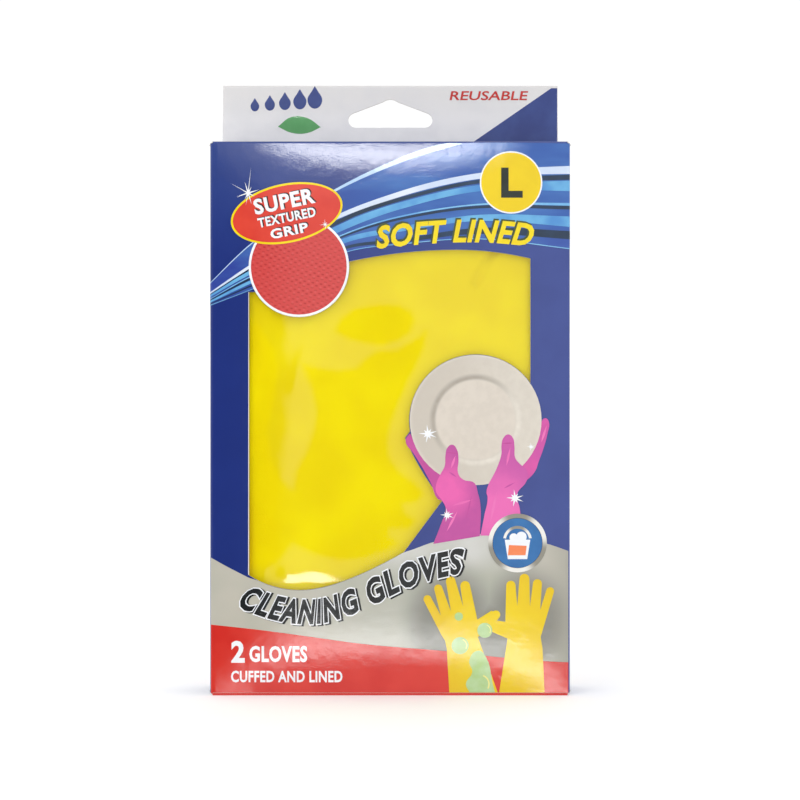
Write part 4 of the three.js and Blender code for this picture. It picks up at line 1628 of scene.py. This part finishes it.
# Lids, tuck lips, dust flaps and their creases
def closure(end):  # "top" or "bottom"
    up = 1 if end == "top" else -1
    level = carton["height"] if end == "top" else 0
    edge = carton["crease"]
    face = carton["face"]
    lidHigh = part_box(end + "_lid")[1] / mm
    lipLow, lipHigh = [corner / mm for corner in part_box(end + "_tuck_lip")]

    board = blueBoard if end == "top" else inks["red"]
    back = lidHigh.y - edge
    half = lidHigh.x - 0.2
    lid = plainLevel(end + "Lid", (-half, -face + edge), (half, back), 2.6, level, up, 0.12, board)
    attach(lid, end + "_lid")
    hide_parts(end + "_lid")
    start, finish = (180, 90) if up > 0 else (180, 270)
    half = carton["flat"] - 0.1
    strip = foldStrip(end + "LidCrease", half, (-face + edge, level - up * edge), edge, start, finish,
                      board, 8, 48)
    orient(strip, up)
    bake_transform(strip)
    start, finish = (90, 0) if up > 0 else (270, 360)
    half = lipHigh.x
    strip = foldStrip(end + "TuckCrease", half, (back, level - up * edge), edge, start, finish,
                      board, 8, 48)
    orient(strip, up)
    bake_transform(strip)
    tip = lipLow.z if up > 0 else lipHigh.z
    lip = tuckLip(end + "TuckLip", lipHigh.x, sorted((level - up * edge, tip)), lidHigh.y, up)
    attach(lip, end + "_tuck_lip")
    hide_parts(end + "_tuck_lip")
    for side, sign in (("left", -1), ("right", 1)):
        dustFlap(end, side, sign, up)


def orient(obj, up):  # a fold made the other way round has its faces turned out again
    if up < 0:
        editAll(obj, lambda: bpy.ops.mesh.normals_make_consistent(inside=False))
    return obj


def plainLevel(name, low, high, cell, level, up, warp, outer):  # a horizontal board facing up or down
    obj = flatBoard(name, low, high, cell, outer)
    thicken(obj, carton["board"])
    span = high[1] - low[1]

    def place(point):
        sag = warp * math.sin(math.pi * (point.z - low[1]) / span)
        if up < 0:
            return Vector((point.x, point.z, (point.y + sag) + level)) * mm
        sag *= 1 - (point.x / carton["sagReach"]) ** 2
        return Vector((point.x, point.z, level - (point.y + sag))) * mm
    moveVertices(obj, place)
    if up < 0:
        editAll(obj, lambda: bpy.ops.mesh.flip_normals())
    return smooth(obj)


def tuckLip(name, half, heights, outer, up):  # hangs inside the back wall, its free corners rounded
    corner = 4.0
    low, high = heights
    tip, root = (low, high) if up > 0 else (high, low)
    turn = -1 if up > 0 else 1
    points = [(-half, root), (-half, tip - turn * corner)]
    points += curveThrough(points[-1], (-half, tip), (-half + corner, tip), 6)
    points += [(half - corner, tip)]
    points += curveThrough(points[-1], (half, tip), (half, tip - turn * corner), 6)
    points += [(half, root)]
    obj = outlineMesh(name, [points], carton["board"])
    cutPlanes(obj, 0, [-half + 2 * half * i / 24 for i in range(1, 24)])
    cutPlanes(obj, 1, [low + (high - low) * i / 4 for i in range(1, 4)])
    standUp(obj)
    paint(obj, blueBoard, plainBoard, cutBoard)
    for face in obj.data.polygons:
        face.material_index = 0 if face.normal.y > 0.5 else 1 if face.normal.y < -0.5 else 2
    middleDepth = outer - carton["board"] / 2

    def place(point):
        bow = 0.12 * math.sin(math.pi * (point.x / half + 1) / 2) * abs(point.z - root) / abs(tip - root)
        return Vector((point.x, middleDepth + point.y - bow, point.z)) * mm
    moveVertices(obj, place)
    return smooth(obj)


def dustFlap(end, side, sign, up):
    low, high = [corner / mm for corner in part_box(end + "_" + side + "_dust_flap")]
    radius = carton["flapCrease"]
    outerLevel = high.z if up > 0 else low.z
    root = sideHigh.x - radius
    tip = min(abs(low.x), abs(high.x))
    near, far = low.y, high.y
    slope = 7.0
    points = [(root, near), (root - slope, near)]
    points += curveThrough(points[-1], (tip, near + 0.6), (tip, near + 9), 5)
    points += [(tip, 3.8)]
    points += curveThrough(points[-1], (tip, far), (root - slope, far), 5)
    points += [(root, far)]
    obj = outlineMesh(end + side.title() + "DustFlap", [points], carton["board"])
    cutPlanes(obj, 0, [tip + (root - tip) * i / 8 for i in range(1, 8)])
    cutPlanes(obj, 1, [near + (far - near) * i / 8 for i in range(1, 8)])
    paint(obj, blueBoard, plainBoard, cutBoard)
    centreLevel = outerLevel - up * carton["board"] / 2

    def place(point):
        share = (root - point.x) / (root - tip)
        return Vector((sign * point.x, point.y, centreLevel + point.z - up * 0.15 * share ** 2)) * mm
    moveVertices(obj, place)
    editAll(obj, lambda: bpy.ops.mesh.normals_make_consistent(inside=False))
    for face in obj.data.polygons:
        lean = face.normal.z * up
        face.material_index = 0 if lean > 0.5 else 1 if lean < -0.5 else 2
    smooth(obj)
    body = end + "_" + side + "_dust_flap"
    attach(obj, body)
    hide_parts(body)
    # its crease, along Y: made along X and turned
    half = (far - near) / 2
    strip = foldStrip(end + side.title() + "FlapCrease", half, (0, 0), radius, 0, 90, blueBoard, 6, 10)
    middleY = (far + near) / 2

    def turnIn(point):
        x, y, z = point / mm
        return Vector((sign * (root + y), middleY + x, outerLevel - up * radius + up * z)) * mm
    moveVertices(strip, turnIn)
    editAll(strip, lambda: bpy.ops.mesh.normals_make_consistent(inside=False))
    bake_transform(strip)


# Build the carton, its print and its contents
frontBoard()
sideBoard("left", "left_side_panel")
sideBoard("right", "right_side_panel")
backBoard()
tabFrontLayer()
bend = carton["tabFold"]
foldTop = foldStrip("tabFold", tabHigh.x - 0.15, (11.85, tabHigh.z - bend), bend, 180, 0, tabBoard, 10, 56)
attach(foldTop, "carton")
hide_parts("hang_tab_fold")
print("boards done")

printed("waveAndFootPrint", printWave())
printed("swooshPrint", printSwooshes())
printed("gripBadgePrint", printGripBadge())
printed("sizeBadgePrint", printSizeBadge())
printed("headlinePrint", printHeadline())
printed("titlePrint", printTitle())
printed("footWordsPrint", printFootWords())
printed("plateAndHandsPrint", printPlateAndHands())
printed("glovePicturesPrint", printGlovePictures())
printed("careBadgePrint", printCareBadge())
printed("tabPrint", printTab(), "tab_board")
printed("backBandsPrint", printBackBands())
printed("backPanelPrint", printBackPanel())
print("print done")

windowFilm()
leftShift = Vector((0, -5.8, 0))
leftGlove = makeGlove("leftGlove", "left_glove", False, leftShift)
leftGlove["frontSkin"] = leftShift.y - glove["foldRadius"] - glove["wall"] / 2
gripDots(leftGlove)
makeGlove("rightGlove", "right_glove", True, Vector((0, 4.7, 0)))
print("gloves done")

closure("top")
closure("bottom")


glue = {
    "board": 0.42, "inset": 0.05,
    # its free edge runs back by the slant over the last millimetres at both ends
    "slant": 6, "slantLength": 7, "middle": 100, "straight": 88,
}


def glueFlap():  # the maker's joint, glued inside the left wall
    low, high = [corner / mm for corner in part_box("glue_flap")]
    obj = flatBoard("glueFlap", (low.y, low.z), (high.y, high.z), 3, plainBoard)
    finishModifier(obj, "SOLIDIFY", thickness=glue["board"], offset=-1)

    def place(point):
        y = point.x
        if point.x <= low.y + 1:
            past = max(0, abs(point.z - glue["middle"]) - glue["straight"])
            y = point.x + glue["slant"] * past / glue["slantLength"]
        return Vector((low.x + glue["inset"] + point.y, y, point.z)) * mm
    moveVertices(obj, place)
    editAll(obj, lambda: bpy.ops.mesh.normals_make_consistent(inside=False))
    smooth(obj)
    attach(obj, "carton")
    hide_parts("glue_flap")
    return obj


glueFlap()
print("closures done")


# Studio
studio = {
    "distance": 0.7, "cameraAcross": 0.0036, "cameraHeight": 0.1065, "lens": 87.2,
    "room": 0.94,         # brightness of the white room, seen by everything but the camera
    "backdrop": 1.05,     # brightness that the camera sees behind the carton
    # the lamp's place, aim, size and power
    "keyLamp": ((-0.5, -0.7, 0.9), (0, 0, 0.1), 0.5, 1.0),
    # soft patches of the room by direction in front of the carton: across and up, low and high edges,
    # softness across and up, how much the patch climbs across, and brightness added to the room's
    "patches": [
        ((-0.36, -0.113), (-0.35, 0.3), (0.014, 0.014), 0, -0.85),
        ((-0.085, 0.05), (0.222, 0.28), (0.05, 0.012), 0, 21),
        ((-0.36, -0.03), (0.15, 0.32), (0.06, 0.03), 0, 0.7),
        ((-0.098, 0.17), (-0.193, -0.155), (0.008, 0.008), -0.05, 9),
    ],
}


def addRoom():
    world = bpy.data.worlds.new("studio")
    bpy.context.scene.world = world
    world.use_nodes = True
    tree = world.node_tree
    tree.nodes.clear()
    direction = addNode(tree, "ShaderNodeTexCoord").outputs["Generated"]
    split = addNode(tree, "ShaderNodeSeparateXYZ", None, {"Vector": direction})
    forward = maths(tree, "MULTIPLY", split.outputs["Y"], -1.0)
    ahead = maths(tree, "MAXIMUM", forward, 0.02)
    across = maths(tree, "DIVIDE", split.outputs["X"], ahead)
    up = maths(tree, "DIVIDE", split.outputs["Z"], ahead)
    inFront = ramp(tree, forward, 0.1, 0.3)
    light = ramp(tree, split.outputs["Z"], -1.0, 1.0, studio["room"] * 0.9, studio["room"] * 1.1, False)
    for acrossSpan, upSpan, soft, climb, change in studio["patches"]:
        share = inFront
        level = maths(tree, "SUBTRACT", up, maths(tree, "MULTIPLY", across, climb))
        for value, (low, high), blur in ((across, acrossSpan, soft[0]), (level, upSpan, soft[1])):
            share = maths(tree, "MULTIPLY", share, ramp(tree, value, low - blur, low + blur))
            share = maths(tree, "MULTIPLY", share, ramp(tree, value, high + blur, high - blur))
        light = maths(tree, "ADD", light, maths(tree, "MULTIPLY", share, change))
    light = maths(tree, "MAXIMUM", light, 0.02)
    settings = {"Color": (1, 1, 1, 1), "Strength": studio["backdrop"]}
    seen = addNode(tree, "ShaderNodeBackground", settings)
    room = addNode(tree, "ShaderNodeBackground", {"Color": (1, 1, 1, 1)}, {"Strength": light})
    path = addNode(tree, "ShaderNodeLightPath")
    camera = path.outputs["Is Camera Ray"]
    mix = addNode(tree, "ShaderNodeMixShader", None, {0: camera, 1: room.outputs[0], 2: seen.outputs[0]})
    output = addNode(tree, "ShaderNodeOutputWorld")
    tree.links.new(mix.outputs[0], output.inputs["Surface"])


def addFloor():  # pale table top, dished up far behind
    clearSelection()
    bpy.ops.mesh.primitive_grid_add(x_subdivisions=24, y_subdivisions=24, size=6)
    floor = newest("floor")
    level, flatReach, dish = -0.0002, 2.2, 0.35

    def place(point):
        beyond = max(0, math.hypot(point.x, point.y) - flatReach)
        return Vector((point.x, point.y, level + dish * beyond ** 2))
    moveVertices(floor, place)
    for face in floor.data.polygons:
        face.use_smooth = True
    material, tree, shader = newMaterial("whiteTable", {"Roughness": 0.8, "Specular IOR Level": 0.1})
    mottle = ramp(tree, noiseAt(tree, 60 * mm, 2.0), 0.3, 0.7)
    tree.links.new(mixColours(tree, mottle, "FAFAFA", "F8F8F9"), shader.inputs["Base Color"])
    shader.inputs["Emission Color"].default_value = (1, 1, 1, 1)
    shader.inputs["Emission Strength"].default_value = 0.14
    paint(floor, material)
    floor.visible_glossy = False  # a matt table doesn't show in the varnish


def addLamp(name, place, aim, size, power):
    lamp = bpy.data.lights.new(name, "AREA")
    lamp.shape = "DISK"
    lamp.size = size
    lamp.energy = power
    holder = bpy.data.objects.new(name, lamp)
    bpy.context.scene.collection.objects.link(holder)
    holder.location = place
    holder.rotation_euler = (Vector(aim) - Vector(place)).to_track_quat("-Z", "Y").to_euler()
    holder.visible_glossy = False
    return holder


def addCamera():
    camera = bpy.data.objects.new("camera", bpy.data.cameras.new("camera"))
    bpy.context.scene.collection.objects.link(camera)
    s = studio
    camera.location = (s["cameraAcross"], -s["distance"] - carton["face"] * mm, s["cameraHeight"])
    camera.rotation_euler = (math.pi / 2, 0, 0)
    camera.data.lens = s["lens"]
    bpy.context.scene.camera = camera


addRoom()
addFloor()
addLamp("keyLamp", *studio["keyLamp"])
addCamera()
bpy.context.scene.view_settings.view_transform = "Standard"
print("studio done")
